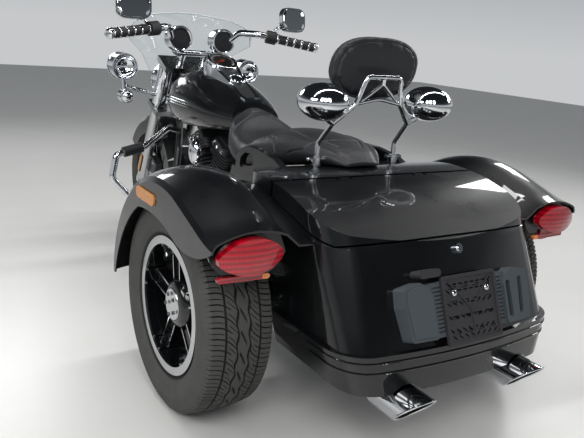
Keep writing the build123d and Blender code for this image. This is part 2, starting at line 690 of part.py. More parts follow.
def make_fork():
    """Fork legs with their sliders, both clamps, the steering stem and the front spindle."""
    leg = fork_place(215, 0, fork_leg_y) * Cylinder(fork_slider_radius, 470)
    tube_foot = 300
    tube_length = top_clamp_height - tube_foot
    leg += fork_place(tube_foot + tube_length / 2, 0, fork_leg_y) * Cylinder(fork_tube_radius, tube_length)
    both = leg + mirror(leg, about=Plane.XZ)
    for height in (lower_clamp_height, top_clamp_height):
        both += fork_place(height, -14) * Box(118, 2 * (fork_leg_y + 34), clamp_thickness)
    stem_length = top_clamp_height - lower_clamp_height + clamp_thickness
    both += fork_place(clamp_middle(), -stem_setback) * Cylinder(stem_radius, stem_length)
    spindle = rod((front_axle_x, -fork_leg_y - 20, front_tyre_radius),
                  (front_axle_x, fork_leg_y + 20, front_tyre_radius), front_spindle_radius)
    return both + spindle


def make_nacelle(fork):
    """Chrome covers round the upper fork tubes, the headlamp shell and the screen brackets."""
    cover_length = top_clamp_height - lower_clamp_height - clamp_thickness - 2 * cover_gap
    cover = fork_place(clamp_middle(), 0, fork_leg_y) * Cylinder(fork_cover_radius, cover_length)
    covers = cover + mirror(cover, about=Plane.XZ)
    shell = Pos(128, 0, 7) * Rot(0, 90, 0) * Cylinder(92, 120)
    shell += Pos(45, 0, 7) * Rot(0, 90, 0) * Cone(62, 92, 46)
    for side in (-1, 1):
        shell += block((-2, 103), (side * 82 - 5, side * 82 + 5), (-15, 29))
    bracket = rod((-25, 112, 61), (28, 112, 91), 7)
    return covers + on_lamps(shell + mirrored(bracket)) - fork


def make_front_fender():
    """The front fender: a thin deep-sided shell over the tyre."""
    side = fork_leg_y - fork_slider_radius - 3.5
    wall = 3
    top = front_tyre_radius + 18
    half = [(side, 236), (side, top - 33), (side - 23, top - 7), (0, top)]
    half_inside = [(0, top - wall), (side - 24, top - 7 - wall), (side - wall, top - 34), (side - wall, 236)]
    outline = half + [(-y, r) for y, r in reversed(half[:-1])]
    outline += [(-y, r) for y, r in reversed(half_inside[1:])] + half_inside
    shell = revolve(Plane.YZ * make_face(Polyline(*outline, close=True)), Axis.Y, 165)
    pads = Part()
    for y in (-1, 1):
        pads += Pos(0, y * (side + 1.4), 0) * Box(40, 2.8, 80)
    place = Pos(front_axle_x, 0, front_tyre_radius)
    return place * Rot(0, -107, 0) * shell + fork_place(270, 0) * pads


def make_lamps():
    """Passing lamps and turn signals on one chrome bar."""
    lamp = Pos(-45, 322, 84) * Rot(0, 90, 0) * Cylinder(60, 70)
    lamp += Pos(-92, 322, 84) * scale(Sphere(57), by=(0.9, 1, 1))
    signal = Pos(-72, 317, -49) * Rot(0, 90, 0) * Cylinder(31, 50)
    signal += Pos(-97, 317, -49) * scale(Sphere(29), by=(0.8, 1, 1))
    post = rod((-67, 320, -27), (-59, 321, 29), 12)
    arm = bent_tube([(-67, 320, -4), (-12, 250, -24), (16, 138, -49)], 11, 30)
    return on_lamps(mirrored(lamp + signal + post + arm))


def make_windshield():
    """A curved clear screen that leans back, with a cut-out over the headlamp and lamps."""
    radius = 620
    bend = Pos(7, 0, 171) * Rot(0, -18, 0) * Pos(-radius, 0, 0)
    sheet = bend * (Cylinder(radius, 460) - Cylinder(radius - 4.5, 470))
    half = [(0, 123), (100, 111), (120, 61), (165, 61), (225, 146), (312, 211), (300, 281),
            (220, 321), (70, 343), (0, 345)]
    outline = half + [(-y, z) for y, z in reversed(half[1:-1])]
    slab = extrude(Plane.YZ.offset(-317) * make_face(Polyline(*outline, close=True)), amount=500)
    return on_lamps(sheet & slab)


# The handlebar and what it carries are drawn from the middle of the top clamp
bar_bend = Vector(-263, 230, 163)
bar_end = Vector(-355, 489, 123)
bar_radius = 16


def make_handlebar():
    """The raised handlebar on its risers."""
    left = [(-73, 0, 51), (-73, 95, 51), (-183, 178, 163), tuple(bar_bend), tuple(bar_end)]
    half = bent_tube(left, bar_radius, 38)
    riser = rod((-33, 60, -5), (-73, 60, 51), 20)
    return on_top_clamp(mirrored(half + riser))


def make_hand_controls():
    """Grips, switch housings and levers at both ends of the handlebar."""
    end = bar_end
    direction = (end - bar_bend).normalized()
    start = end - direction * 190
    bore_line = rod(tuple(start - direction * 60), tuple(end), bar_radius + seat_gap)
    grip = rod(tuple(start), tuple(end + direction * 8), 21)
    housing = rod(tuple(start - direction * 46), tuple(start), 30)
    perch = rod(tuple(start + Vector(10, 0, 0)), tuple(start + Vector(60, 8, 6)), 13)
    lever = bent_tube([tuple(start + Vector(52, 6, 6)), tuple(start + Vector(56, 60, -6)),
                       tuple(end + Vector(52, 10, -6))], 7, 24)
    controls = grip + housing + perch + lever - bore_line
    return on_top_clamp(mirrored(controls))


def make_mirrors():
    """Two rounded mirrors on bent stems."""
    head_plane = Plane(origin=(-320, 388, 241), x_dir=(0.18, 0.98, 0), z_dir=(0.97, -0.18, -0.12))
    head = extrude(head_plane * RectangleRounded(145, 108, 40), amount=24)
    stem = bent_tube([(-253, 300, 169), (-263, 340, 201), (-301, 380, 201)], 7, 18)
    return on_top_clamp(mirrored(head + stem))


def make_bar_pods():
    """Two bullet speakers clamped to the handlebar, faces towards the rider."""
    pod = Pos(-127, 109, 117) * Rot(0, 90, 0) * Cylinder(56, 50)
    pod += Pos(-101, 109, 117) * Sphere(54)
    return on_top_clamp(mirrored(pod))


def make_front_calipers():
    """A brake caliper over each front disc, behind the fork legs."""
    lug = fork_place(112, -58, 76) * Box(78, 34, 96)
    disc_room = Pos(front_axle_x, 0, front_tyre_radius) * Rot(90, 0, 0) * Cylinder(152, 136)
    caliper = lug - disc_room
    return mirrored(caliper)


def make_rear_calipers():
    """A brake caliper over each rear disc, carried by the axle tube."""
    inner = rear_wheel_y - 88
    lug = block((-164, -100), (inner, inner + 50), (rear_tyre_radius - 46, rear_tyre_radius + 46))
    slot = Pos(0, rear_wheel_y - 56, rear_tyre_radius) * Rot(90, 0, 0) * Cylinder(149, 22)
    arm = block((-150, 0), (inner - 8, inner), (rear_tyre_radius - 24, rear_tyre_radius + 24))
    axle_tube = rod((0, 300, rear_tyre_radius), (0, 470, rear_tyre_radius), 38)
    return mirrored(lug - slot + arm - axle_tube)


def make_backrest():
    """Chrome hoop of the backrest with its medallion, docking clamps and two rear speaker pods."""
    left = [(-15, 157, 700), (-15, 157, 800), (-72, 150, 872), (-97, 88, 934), (-114, 66, 1018), (-118, 0, 1046)]
    right = [(x, -y, z) for x, y, z in reversed(left[:-1])]
    hoop = bent_tube(left[:5] + right, 8, 20)
    bar = bent_tube([(-97, 84, 936), (-96, 0, 952), (-97, -84, 936)], 7, 120)
    mast = rod((-116, 0, 1022), (-109, 0, 995), 7)
    legs = rod((-109, 0, 998), (-98, 70, 944), 6)
    medallion = bar + mast + mirrored(legs)
    clamp = Pos(-15, 157, 745) * Cylinder(14, 26)
    clamp += rod((-15, 127, 752), (-15, 190, 752), 7)
    pod_place = Pos(-76, 208, 940)
    bullet = Pos(-20, 0, 0) * Sphere(75)
    pod = scale(bullet, by=(1.15, 1.0, 0.75))
    stalk = rod((-72, 150, 872), (-80, 196, 898), 9)
    return hoop + medallion + mirrored(clamp + pod_place * pod + stalk)


def make_backrest_pad():
    """The backrest cushion in front of the hoop."""
    lean = Plane(origin=(-88, 0, 1034), x_dir=(0, 1, 0), z_dir=(cos(radians(11)), 0, sin(radians(11))))
    outline = [Line((-118, -104), (118, -104)), ThreePointArc((118, -104), (176, -10), (124, 86)),
               ThreePointArc((124, 86), (0, 108), (-124, 86)), ThreePointArc((-124, 86), (-176, -10), (-118, -104))]
    pad = extrude(lean * make_face(outline), amount=54)
    return pad


def make_grab_rails():
    """Moulded grab handles beside the pillion seat, each with a rounded window for the hand."""
    outline = [(330, 640), (322, 700), (290, 734), (250, 748), (180, 748), (70, 735), (20, 716),
               (66, 712), (70, 700), (300, 640)]
    plate = fillet(make_face(Polyline(*outline, close=True)).vertices().filter_by(
        lambda corner: corner.X > 100 and corner.Y > 690), 16)
    window = fillet(make_face(Polyline((298, 664), (292, 702), (262, 724), (210, 726), (202, 690), close=True)
                              ).vertices(), 11)
    rail = Pos(0, 262, 0) * extrude(Plane.XZ * plate, amount=26)
    opening = Pos(0, 300, 0) * extrude(Plane.XZ * window, amount=100)
    return mirrored(rail - opening)


guard_shoulder = (1222, 264, 572)
guard_corner = (1215, 400, 540)


def guard_run(share):
    """A point on the guard's upper run, from its shoulder to its outer corner."""
    return tuple(a + share * (b - a) for a, b in zip(guard_shoulder, guard_corner))


def make_engine_guard():
    """The chrome guard in front of the engine, one loop on each side."""
    loop = bent_tube([(1243, 88, 640), (1240, 140, 655), guard_shoulder, guard_corner, (1212, 420, 430),
                      (1206, 300, 300), (1200, 148, 236)], frame_tube_radius - 1, 34)
    return mirrored(loop)


def make_foot_rests():
    """Highway pegs on the guard, rider floorboards and passenger boards."""
    board = block((1010, 1170), (252, 352), (262, 280)) + block((1148, 1180), (146.3, 260), (262, 278))
    rear_board = block((420, 540), (232, 330), (340, 358)) + block((440, 480), (150, 240), (342, 356))
    for rib in range(5):
        board += block((1024 + rib * 27, 1034 + rib * 27), (258, 346), (280, 283))
    return mirrored(board + rear_board)


def make_highway_pegs(guard):
    """Round rubber pegs on the upper run of the guard."""
    peg = rod(guard_run(0.1), guard_run(0.75), frame_tube_radius + 8)
    return mirrored(peg) - guard


def make_foot_controls():
    """The heel and toe lever of the gearbox on the left, and the brake pedal on the right."""
    post = rod((1164, 225, 278), (1164, 225, 312), 9) + rod((1164, 208, 318), (1164, 246, 318), 12)
    toe = bent_tube([(1164, 238, 318), (1174, 250, 348), (1180, 262, 366)], 7, 12)
    toe_pad = rod((1180, 256, 366), (1180, 322, 366), 11)
    heel = bent_tube([(1164, 238, 318), (1060, 244, 318), (1006, 256, 330)], 7, 30)
    heel_pad = rod((1006, 250, 330), (1006, 312, 330), 11)
    pedal = Pos(1182, 292, 372) * Rot(0, -35, 0) * Box(12, 70, 46)
    left = post + toe + toe_pad + heel + heel_pad
    right = mirror(post + toe + pedal, about=Plane.XZ)
    return left + right


def make_side_covers():
    """Side panels under the seat that hide the oil tank and battery."""
    panel = side_plate([(372, 420), (360, 540), (400, 620), (500, 632), (520, 560), (480, 400)], 152, 184)
    return mirrored(panel)


def make_bumper(outer):
    """The rear valance round the foot of the tub."""
    band = tub_form(14, tub_front_x) & block((-700, -205), (-500, 500), (252, 362))
    inner = tub_form(seat_gap, tub_front_x)
    return band - inner - make_muffler_room()


rear_tyre, rear_rim = make_rear_wheel()
front_tyre, front_rim = make_front_wheel()
body_tub, trunk_lid, tub_outer = make_tub_and_lid()
fender_left = make_fender()
tail_lamp = make_tail_lamp()
plate_housing, plate_tray = make_plate_parts(tub_outer)
tank_form, fuel_tank = make_tank()
frame = make_frame()
engine_block = make_engine() - frame
cylinders = make_cylinders(engine_block)
engine_covers = make_engine_covers(engine_block, cylinders) - frame
fork = make_fork()
rear_axle = make_rear_axle()
handlebar = make_handlebar() - fork
hand_controls = make_hand_controls()
nacelle = make_nacelle(fork)
backrest = make_backrest() - tub_outer
engine_guard = make_engine_guard()
console, console_insert = make_console()
side_marker = make_side_marker(fender_left)
seat_base = make_seat_base()
seat = make_seat(tub_outer, seat_base, frame)

parts = {
    "frame": frame,
    "engine_block": engine_block,
    "cylinders": cylinders,
    "engine_covers": engine_covers,
    "exhaust_pipes": make_exhaust(cylinders, engine_block, engine_covers),
    "mufflers": make_mufflers(),
    "fuel_tank": fuel_tank,
    "tank_console": console - tank_form - seat,
    "console_insert": console_insert - tank_form - seat,
    "seat": seat,
    "grab_rails": make_grab_rails() - tub_outer - seat_base,
    "side_covers": make_side_covers() - seat,
    "rear_axle": rear_axle,
    "rear_shocks": make_shocks(),
    "rear_calipers": make_rear_calipers(),
    "body_tub": body_tub,
    "rear_bumper": make_bumper(tub_outer),
    "fender_left": fender_left,
    "fender_right": mirror(fender_left, about=Plane.XZ),
    "tail_lamps": mirrored(tail_lamp),
    "side_markers": mirrored(side_marker),
    "trunk_lock": make_trunk_lock(tub_outer),
    "plate_housing": plate_housing,
    "plate_tray": plate_tray,
    "backrest_frame": backrest,
    "backrest_pad": make_backrest_pad() - backrest,
    "engine_guard": engine_guard,
    "foot_rests": make_foot_rests() + make_foot_controls() - rear_axle + make_highway_pegs(engine_guard),
    "trunk_lid": trunk_lid,
    "fork": fork,
    "nacelle": nacelle,
    "front_fender": make_front_fender(),
    "front_lamps": make_lamps() - nacelle,
    "windshield": make_windshield() - nacelle,
    "handlebar": handlebar,
    "hand_controls": hand_controls,
    "mirrors": make_mirrors() - hand_controls,
    "bar_speakers": make_bar_pods() - handlebar,
    "front_calipers": make_front_calipers() - fork,
    "front_tyre": front_tyre,
    "front_rim": front_rim,
    "rear_tyre_left": rear_tyre,
    "rear_rim_left": rear_rim,
    "rear_tyre_right": mirror(rear_tyre, about=Plane.XZ),
    "rear_rim_right": mirror(rear_rim, about=Plane.XZ),
}

os.makedirs("parts", exist_ok=True)
for name, shape in parts.items():
    export_step(Pos(-ground_origin_x, 0, 0) * shape, f"parts/{name}.step")
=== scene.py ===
# %% [markdown]
# The motorized trike, seen from behind on its left side
#
# The machine is a touring motorcycle at the front and a luggage car at the back: a raked fork, a
# V-twin and a stepped seat, then a gloss black tub between two wide tyres. The rigid pieces come
# measured from CAD. This script gives each of them its finish, and models what CAD leaves plain:
# tyre treads, upholstery, lenses, bolts, grilles and mirror glass.

# %% Load the measured machine and find its wheels
import json

import bmesh
import bpy
import numpy as np
from mathutils import Matrix, Vector
from mathutils.bvhtree import BVHTree


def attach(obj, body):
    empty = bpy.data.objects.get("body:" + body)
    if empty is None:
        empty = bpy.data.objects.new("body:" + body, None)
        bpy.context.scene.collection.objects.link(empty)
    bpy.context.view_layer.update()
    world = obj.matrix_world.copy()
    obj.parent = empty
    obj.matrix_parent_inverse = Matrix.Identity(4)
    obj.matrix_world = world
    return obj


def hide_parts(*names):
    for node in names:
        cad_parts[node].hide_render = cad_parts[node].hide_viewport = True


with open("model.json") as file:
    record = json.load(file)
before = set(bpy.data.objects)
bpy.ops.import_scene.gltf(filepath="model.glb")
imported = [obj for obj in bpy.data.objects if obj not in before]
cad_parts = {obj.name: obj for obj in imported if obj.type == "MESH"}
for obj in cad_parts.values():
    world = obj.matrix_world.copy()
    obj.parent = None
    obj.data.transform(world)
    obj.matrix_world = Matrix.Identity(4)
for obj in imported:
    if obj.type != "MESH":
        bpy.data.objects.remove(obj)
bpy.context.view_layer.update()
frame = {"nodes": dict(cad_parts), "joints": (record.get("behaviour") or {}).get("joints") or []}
nodes = frame["nodes"]
joint_places = {joint["name"]: np.array(joint["pos_m"]) for joint in frame["joints"]}
rear_wheel_place = joint_places["rear_wheel_left_spin"]
right_wheel_place = joint_places["rear_wheel_right_spin"]
front_wheel_place = joint_places["front_wheel_spin"]
rear_axle_x = rear_wheel_place[0]
MM = 0.001
print("rear axle at x", round(rear_axle_x, 4), "front axle at x", round(front_wheel_place[0], 4))


# %% [markdown]
# Measures on this machine are easiest to read from the rear axle: x forward from it, y to the
# rider's left and z up from the ground, all in millimetres. One function turns such measures into
# metres in the frame that the CAD pieces share.

# %% Places measured from the rear axle
def at(points):
    """Points in millimetres from the rear axle as an array in metres in the shared frame."""
    places = np.array(points, float) * MM
    places[..., 0] += rear_axle_x
    return places


# %% [markdown]
# Every modelled piece is a surface on a grid: rows of points that are worked out with numpy at
# once, with no loop over vertices. A shape here is a pair of arrays, its corners and its
# four-sided faces, so several shapes can be joined before Blender sees them. Duplicate corners at
# seams and poles are merged when the mesh is made, which closes them.

# %% Grids, turned shapes, tubes and plates
def grid(points, close_rows=False, close_columns=False):
    """A surface from an array of rows by columns of points; either way round it can close."""
    rows, columns = points.shape[:2]
    index = np.arange(rows * columns).reshape(rows, columns)
    if close_rows:
        index = np.vstack([index, index[:1]])
    if close_columns:
        index = np.hstack([index, index[:, :1]])
    faces = np.stack([index[:-1, :-1], index[1:, :-1], index[1:, 1:], index[:-1, 1:]], -1)
    return points.reshape(-1, 3), faces.reshape(-1, 4)


def joined(*shapes):
    """Several shapes as one pair of corner and face arrays."""
    starts = np.cumsum([0] + [len(corners) for corners, faces in shapes[:-1]])
    corners = np.concatenate([shape[0] for shape in shapes])
    faces = np.concatenate([shape[1] + start for shape, start in zip(shapes, starts)])
    return corners, faces


def other_side(shape):
    """The shape's twin across the middle plane: y changes sign and the faces turn over."""
    corners, faces = shape
    return corners * (1, -1, 1), faces[:, ::-1]


def both_sides(shape):
    """A shape and its twin across the middle plane."""
    return joined(shape, other_side(shape))


def frame_along(direction):
    """Two unit vectors square to a direction and to each other."""
    direction = np.array(direction, float) / np.linalg.norm(direction)
    helper = np.array((0.0, 0.0, 1.0)) if abs(direction[2]) < 0.9 else np.array((1.0, 0.0, 0.0))
    across = np.cross(helper, direction)
    across /= np.linalg.norm(across)
    return across, np.cross(direction, across)


def turned(profile, centre, axis, steps=48):
    """A profile of (along the axis, radius) rows in millimetres, turned round an axis through a
    centre in metres: each point is centre + along * axis + radius * (cos t, sin t) in the plane
    square to the axis. A profile that starts and ends at radius 0 gives a closed solid."""
    profile = np.array(profile, float) * MM
    across, up = frame_along(axis)
    axis = np.array(axis, float) / np.linalg.norm(axis)
    angle = np.linspace(0, 2 * np.pi, steps, endpoint=False)
    ring = np.cos(angle)[:, None] * across + np.sin(angle)[:, None] * up
    points = (np.array(centre, float) + profile[None, :, :1] * axis
              + profile[None, :, 1:] * ring[:, None, :])
    return grid(points, close_rows=True)


def smooth_path(points, count):
    """A Catmull-Rom curve through the points: each stretch is the cubic that passes through its
    ends with slopes taken from the neighbours."""
    points = np.array(points, float)
    padded = np.vstack([2 * points[0] - points[1], points, 2 * points[-1] - points[-2]])
    where = np.linspace(0, len(points) - 1, count)
    cell = np.minimum(where.astype(int), len(points) - 2)
    t = (where - cell)[:, None]
    a, b, c, d = (padded[cell + step] for step in range(4))
    return 0.5 * (2 * b + (c - a) * t + (2 * a - 5 * b + 4 * c - d) * t ** 2
                  + (3 * b - a - 3 * c + d) * t ** 3)


def tube(path, radius, sides=12, capped=True):
    """A round tube along a path of points in metres. Its ring at each point lies square to the
    path, and every ring starts from one shared direction, so the tube doesn't twist."""
    path = np.array(path, float)
    tangent = np.gradient(path, axis=0)
    tangent /= np.linalg.norm(tangent, axis=1, keepdims=True)
    spread = np.ptp(path, axis=0)
    across = np.cross(tangent, np.eye(3)[np.argmin(spread)])
    across /= np.linalg.norm(across, axis=1, keepdims=True)
    up = np.cross(tangent, across)
    angle = np.linspace(0, 2 * np.pi, sides, endpoint=False)[None, :, None]
    radius = np.broadcast_to(np.array(radius, float), len(path))[:, None, None]
    points = path[:, None] + radius * (np.cos(angle) * across[:, None] + np.sin(angle) * up[:, None])
    if capped:
        ends = [np.repeat(path[end][None, None], sides, axis=1) for end in (0, -1)]
        points = np.concatenate([ends[0], points, ends[1]])
    return grid(points, close_columns=True)


def arc_rows(first, middle, last, count):
    """Points on the circles through three corners, one circle for each row: a corner is a pair of
    arrays. The centre is where the corners' squared distances from the origin balance, and each
    arc sweeps from its first corner to its last on the side where the middle one lies."""
    (ax, ay), (bx, by), (cx, cy) = first, middle, last
    a_square, b_square, c_square = ax ** 2 + ay ** 2, bx ** 2 + by ** 2, cx ** 2 + cy ** 2
    twice_area = 2 * (ax * (by - cy) + bx * (cy - ay) + cx * (ay - by))
    ux = (a_square * (by - cy) + b_square * (cy - ay) + c_square * (ay - by)) / twice_area
    uy = (a_square * (cx - bx) + b_square * (ax - cx) + c_square * (bx - ax)) / twice_area
    radius = np.hypot(ax - ux, ay - uy)
    start = np.arctan2(ay - uy, ax - ux)
    through = (np.arctan2(by - uy, bx - ux) - start) % (2 * np.pi)
    sweep = (np.arctan2(cy - uy, cx - ux) - start) % (2 * np.pi)
    sweep = np.where(through > sweep, sweep - 2 * np.pi, sweep)
    angle = start[:, None] + sweep[:, None] * np.linspace(0, 1, count)
    return np.stack([ux[:, None] + radius[:, None] * np.cos(angle),
                     uy[:, None] + radius[:, None] * np.sin(angle)], -1)


def arc_through(first, middle, last, count):
    """Points on the circle through three plane points, from the first to the last."""
    corners = [tuple(np.array([value], float) for value in corner) for corner in (first, middle, last)]
    return arc_rows(*corners, count)[0]


# %% [markdown]
# A shape becomes a piece when it rides on a CAD body and has a finish. Shading is smooth over
# gentle bends and sharp over real edges.

# %% From arrays to a piece that rides on the machine
def mesh_from(name, shape):
    """A Blender mesh from a shape, with doubled corners merged and faces pointing outwards."""
    corners, faces = shape
    mesh = bpy.data.meshes.new(name)
    mesh.from_pydata(corners.tolist(), [], faces.tolist())
    work = bmesh.new()
    work.from_mesh(mesh)
    bmesh.ops.remove_doubles(work, verts=work.verts, dist=2e-6)
    bmesh.ops.dissolve_degenerate(work, edges=work.edges, dist=1e-7)
    bmesh.ops.recalc_face_normals(work, faces=work.faces)
    work.to_mesh(mesh)
    work.free()
    return mesh


def piece(name, shape, body, material, replaces=(), sharp=35):
    """A named piece of the trike: its mesh, its body and its finish."""
    mesh = mesh_from(name, shape)
    mesh.shade_smooth()
    mesh.set_sharp_from_angle(angle=np.radians(sharp))
    obj = bpy.data.objects.new(name, mesh)
    bpy.context.scene.collection.objects.link(obj)
    mesh.materials.append(material)
    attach(obj, body)
    if replaces:
        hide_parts(*replaces)
    print(name, len(mesh.polygons), "faces on", body)
    return obj


def corners_of(obj, measure="co"):
    """An object's corners as rows of metres, or their normals."""
    flat = np.zeros(len(obj.data.vertices) * 3)
    obj.data.vertices.foreach_get(measure, flat)
    return flat.reshape(-1, 3)


def finish_node(material, *names):
    """Gives CAD nodes their finish."""
    for name in names:
        mesh = nodes[name].data
        mesh.materials.clear()
        mesh.materials.append(material)


# %% [markdown]
# Finishes are built from shader nodes. Colours are written as the hex values that a paint chart
# gives, in sRGB, and turned to the linear values that Blender works in. Patterns read Object
# coordinates in metres, so a scale of 1 / 0.002 draws a grain about 2 mm wide on every piece.

# %% Colours, nodes and a plain starting finish
def linear(code):
    """An sRGB hex colour as linear red, green, blue and alpha."""
    value = np.array([int(code[place:place + 2], 16) for place in (1, 3, 5)]) / 255
    value = np.where(value <= 0.04045, value / 12.92, ((value + 0.055) / 1.055) ** 2.4)
    return (*value.tolist(), 1.0)


def feed(node, links):
    """Feeds a node's inputs. A source is a socket, or a node whose first output in use is meant."""
    for name, source in links.items():
        if isinstance(source, bpy.types.Node):
            source = next(output for output in source.outputs if output.enabled)
        node.id_data.links.new(source, node.inputs[name])


def add(tree, kind, settings=None, links=None):
    """Adds a shader node: settings are its properties or sockets, links say what feeds it."""
    node = tree.nodes.new("ShaderNode" + kind)
    for name, value in (settings or {}).items():
        if isinstance(name, str) and hasattr(node, name):
            setattr(node, name, value)
        else:
            node.inputs[name].default_value = value
    feed(node, links or {})
    return node


def start_finish(name, colour, roughness, metallic=0.0, sockets=None):
    """A material with its Principled shader set, and its tree ready for patterns."""
    material = bpy.data.materials.new(name)
    material.use_nodes = True
    tree = material.node_tree
    shader = tree.nodes["Principled BSDF"]
    shader.inputs["Base Color"].default_value = linear(colour)
    shader.inputs["Roughness"].default_value = roughness
    shader.inputs["Metallic"].default_value = metallic
    for socket, value in (sockets or {}).items():
        shader.inputs[socket].default_value = value
    return material, tree, shader


def noise_of_size(tree, size_mm, detail=2.0):
    """A noise whose blotches are about size_mm wide on the piece."""
    place = add(tree, "TexCoord")
    return add(tree, "TexNoise", {"Scale": 1 / (size_mm * MM), "Detail": detail},
               {"Vector": place.outputs["Object"]})


def vary_roughness(tree, shader, low, high, size_mm):
    """Smudges: the roughness wanders between two values over blotches of one size."""
    noise = noise_of_size(tree, size_mm, 4.0)
    spread = add(tree, "MapRange", {"From Min": 0.3, "From Max": 0.7, "To Min": low, "To Max": high},
                 {"Value": noise})
    feed(shader, {"Roughness": spread})


def vary_colour(tree, shader, first, second, size_mm):
    """Mottling: the base colour wanders between two colours over blotches of one size."""
    noise = noise_of_size(tree, size_mm, 5.0)
    ramp = add(tree, "Mix", {"data_type": "RGBA", 6: linear(first), 7: linear(second)}, {0: noise})
    feed(shader, {"Base Color": ramp})


def grain(tree, shader, size_mm, height_mm, strength=1.0):
    """A surface grain as bump: noise of one size and height in millimetres."""
    noise = noise_of_size(tree, size_mm)
    bump = add(tree, "Bump", {"Strength": strength, "Distance": height_mm * MM}, {"Height": noise})
    feed(shader, {"Normal": bump})


def plain_finish(name, colour, roughness, metallic=0.0, sockets=None, mottled=(), smudged=(), grained=()):
    """A material that needs no pattern of its own. It can be mottled, smudged or grained, each
    with the values that the functions above take."""
    material, tree, shader = start_finish(name, colour, roughness, metallic, sockets)
    for pattern, values in ((vary_colour, mottled), (vary_roughness, smudged), (grain, grained)):
        if values:
            pattern(tree, shader, *values)
    return material


# %% [markdown]
# The fenders, tank and tub are sprayed acrylic enamel under clear lacquer: nearly black, with a
# mirror-like coat. What keeps such paint from looking like plastic is a faint orange peel in the
# lacquer, about 7 mm from crest to crest, and smudges where hands and cloths have been.

# %% Gloss black enamel
black_enamel, tree, shader = start_finish("sprayed_black_enamel", "#08090b", 0.35, 0.0,
                                          {"Specular IOR Level": 0.15, "Coat Weight": 1.0,
                                           "Coat Roughness": 0.015, "Coat IOR": 1.5})
vary_roughness(tree, shader, 0.25, 0.45, 160)
peel = noise_of_size(tree, 7.0)
peel_bump = add(tree, "Bump", {"Strength": 0.5, "Distance": 0.012 * MM}, {"Height": peel})
feed(shader, {"Coat Normal": peel_bump})

# %% [markdown]
# Bright trim is steel with decorative chromium plate, a little bluish and almost a mirror. Its
# polish is broken only by wiping marks, which are drawn as slow changes in roughness.

# %% Chromium plate
chromium = plain_finish("chromium_plated_steel", "#dfe2e6", 0.06, 1.0, smudged=(0.035, 0.11, 60))

# %% [markdown]
# The fork sliders and spindle are polished aluminium, softer than chrome, and the calipers are
# anodised castings. The discs and the turned faces of the wheels show fine machining marks, far
# too fine to draw, so their roughness stands for them.

# %% Aluminium
polished_aluminium = plain_finish("polished_aluminium", "#c9cacb", 0.16, 1.0, smudged=(0.12, 0.24, 40))
anodised_casting = plain_finish("anodised_cast_aluminium", "#6e7073", 0.42, 1.0, grained=(1.2, 0.05, 0.6))

# %% [markdown]
# The frame and axle are powder coated: baked polyester powder that flows to a satin black skin
# with a fine dimple. The engine's castings are black too, but with a wrinkle finish that scatters
# light, so they read as dark grey beside the paint.

# %% Powder coat and wrinkle finish
powder_coat = plain_finish("satin_powder_coat", "#141517", 0.34, grained=(1.6, 0.02, 0.6))
wrinkle_black = plain_finish("wrinkle_black_casting", "#1b1c1e", 0.55, 0.2,
                             mottled=("#17181a", "#242628", 30), grained=(1.8, 0.12, 0.8))

# %% [markdown]
# The seat and pad are covered in marine vinyl: PVC on a knit backing, pressed with a leather grain
# of cells a millimetre or two wide. Voronoi cells give the creases between the pebbles.

# %% Black vinyl
black_vinyl, tree, shader = start_finish("grained_black_vinyl", "#1c1d20", 0.46, 0.0,
                                         {"Specular IOR Level": 0.5})
coordinates = add(tree, "TexCoord")
pebbles = add(tree, "TexVoronoi", {"feature": "DISTANCE_TO_EDGE", "Scale": 1 / (2.2 * MM)},
              {"Vector": coordinates.outputs["Object"]})
pebble_height = add(tree, "MapRange", {"From Min": 0.0, "From Max": 0.12}, {"Value": pebbles})
pebble_bump = add(tree, "Bump", {"Strength": 0.35, "Distance": 0.15 * MM}, {"Height": pebble_height})
feed(shader, {"Normal": pebble_bump})
vary_roughness(tree, shader, 0.38, 0.54, 90)

# %% [markdown]
# Tyres are carbon-black rubber, moulded and slightly dusty, and the bottoms of the cuts are painted
# near black as shade: each tyre carries an attribute that says how deep a point lies. The grips are
# the same rubber, cleaner and softer. Moulded trim is ABS with a spark-eroded texture: grey behind
# the plate, dark grey for the tray, and black for the foot boards and small housings.

# %% Rubber and moulded plastics
tyre_rubber, tree, shader = start_finish("tyre_rubber", "#313232", 0.78)
dust = noise_of_size(tree, 45, 5.0)
top_colour = add(tree, "Mix", {"data_type": "RGBA", 6: linear("#363635"), 7: linear("#474643")},
                 {0: dust})
# Painted shade: the cut attribute colours the bottoms of the cuts near black.
cut = add(tree, "Attribute", {"attribute_name": "cut"})
dust_and_painted_groove_shade = add(tree, "Mix", {"data_type": "RGBA", 7: linear("#0a0a0b")},
                    {0: cut.outputs["Fac"], 6: top_colour})
feed(shader, {"Base Color": dust_and_painted_groove_shade})
grain(tree, shader, 1.5, 0.06, 0.7)

grip_rubber = plain_finish("grip_rubber", "#151617", 0.62, grained=(1.0, 0.05, 0.6))
grey_abs = plain_finish("textured_grey_abs", "#41474b", 0.4, grained=(0.9, 0.05, 0.7))
tray_abs = plain_finish("unpainted_dark_abs", "#2e2d30", 0.5, grained=(1.2, 0.06, 0.8))
black_abs = plain_finish("textured_black_abs", "#17181a", 0.44, grained=(0.9, 0.05, 0.7))
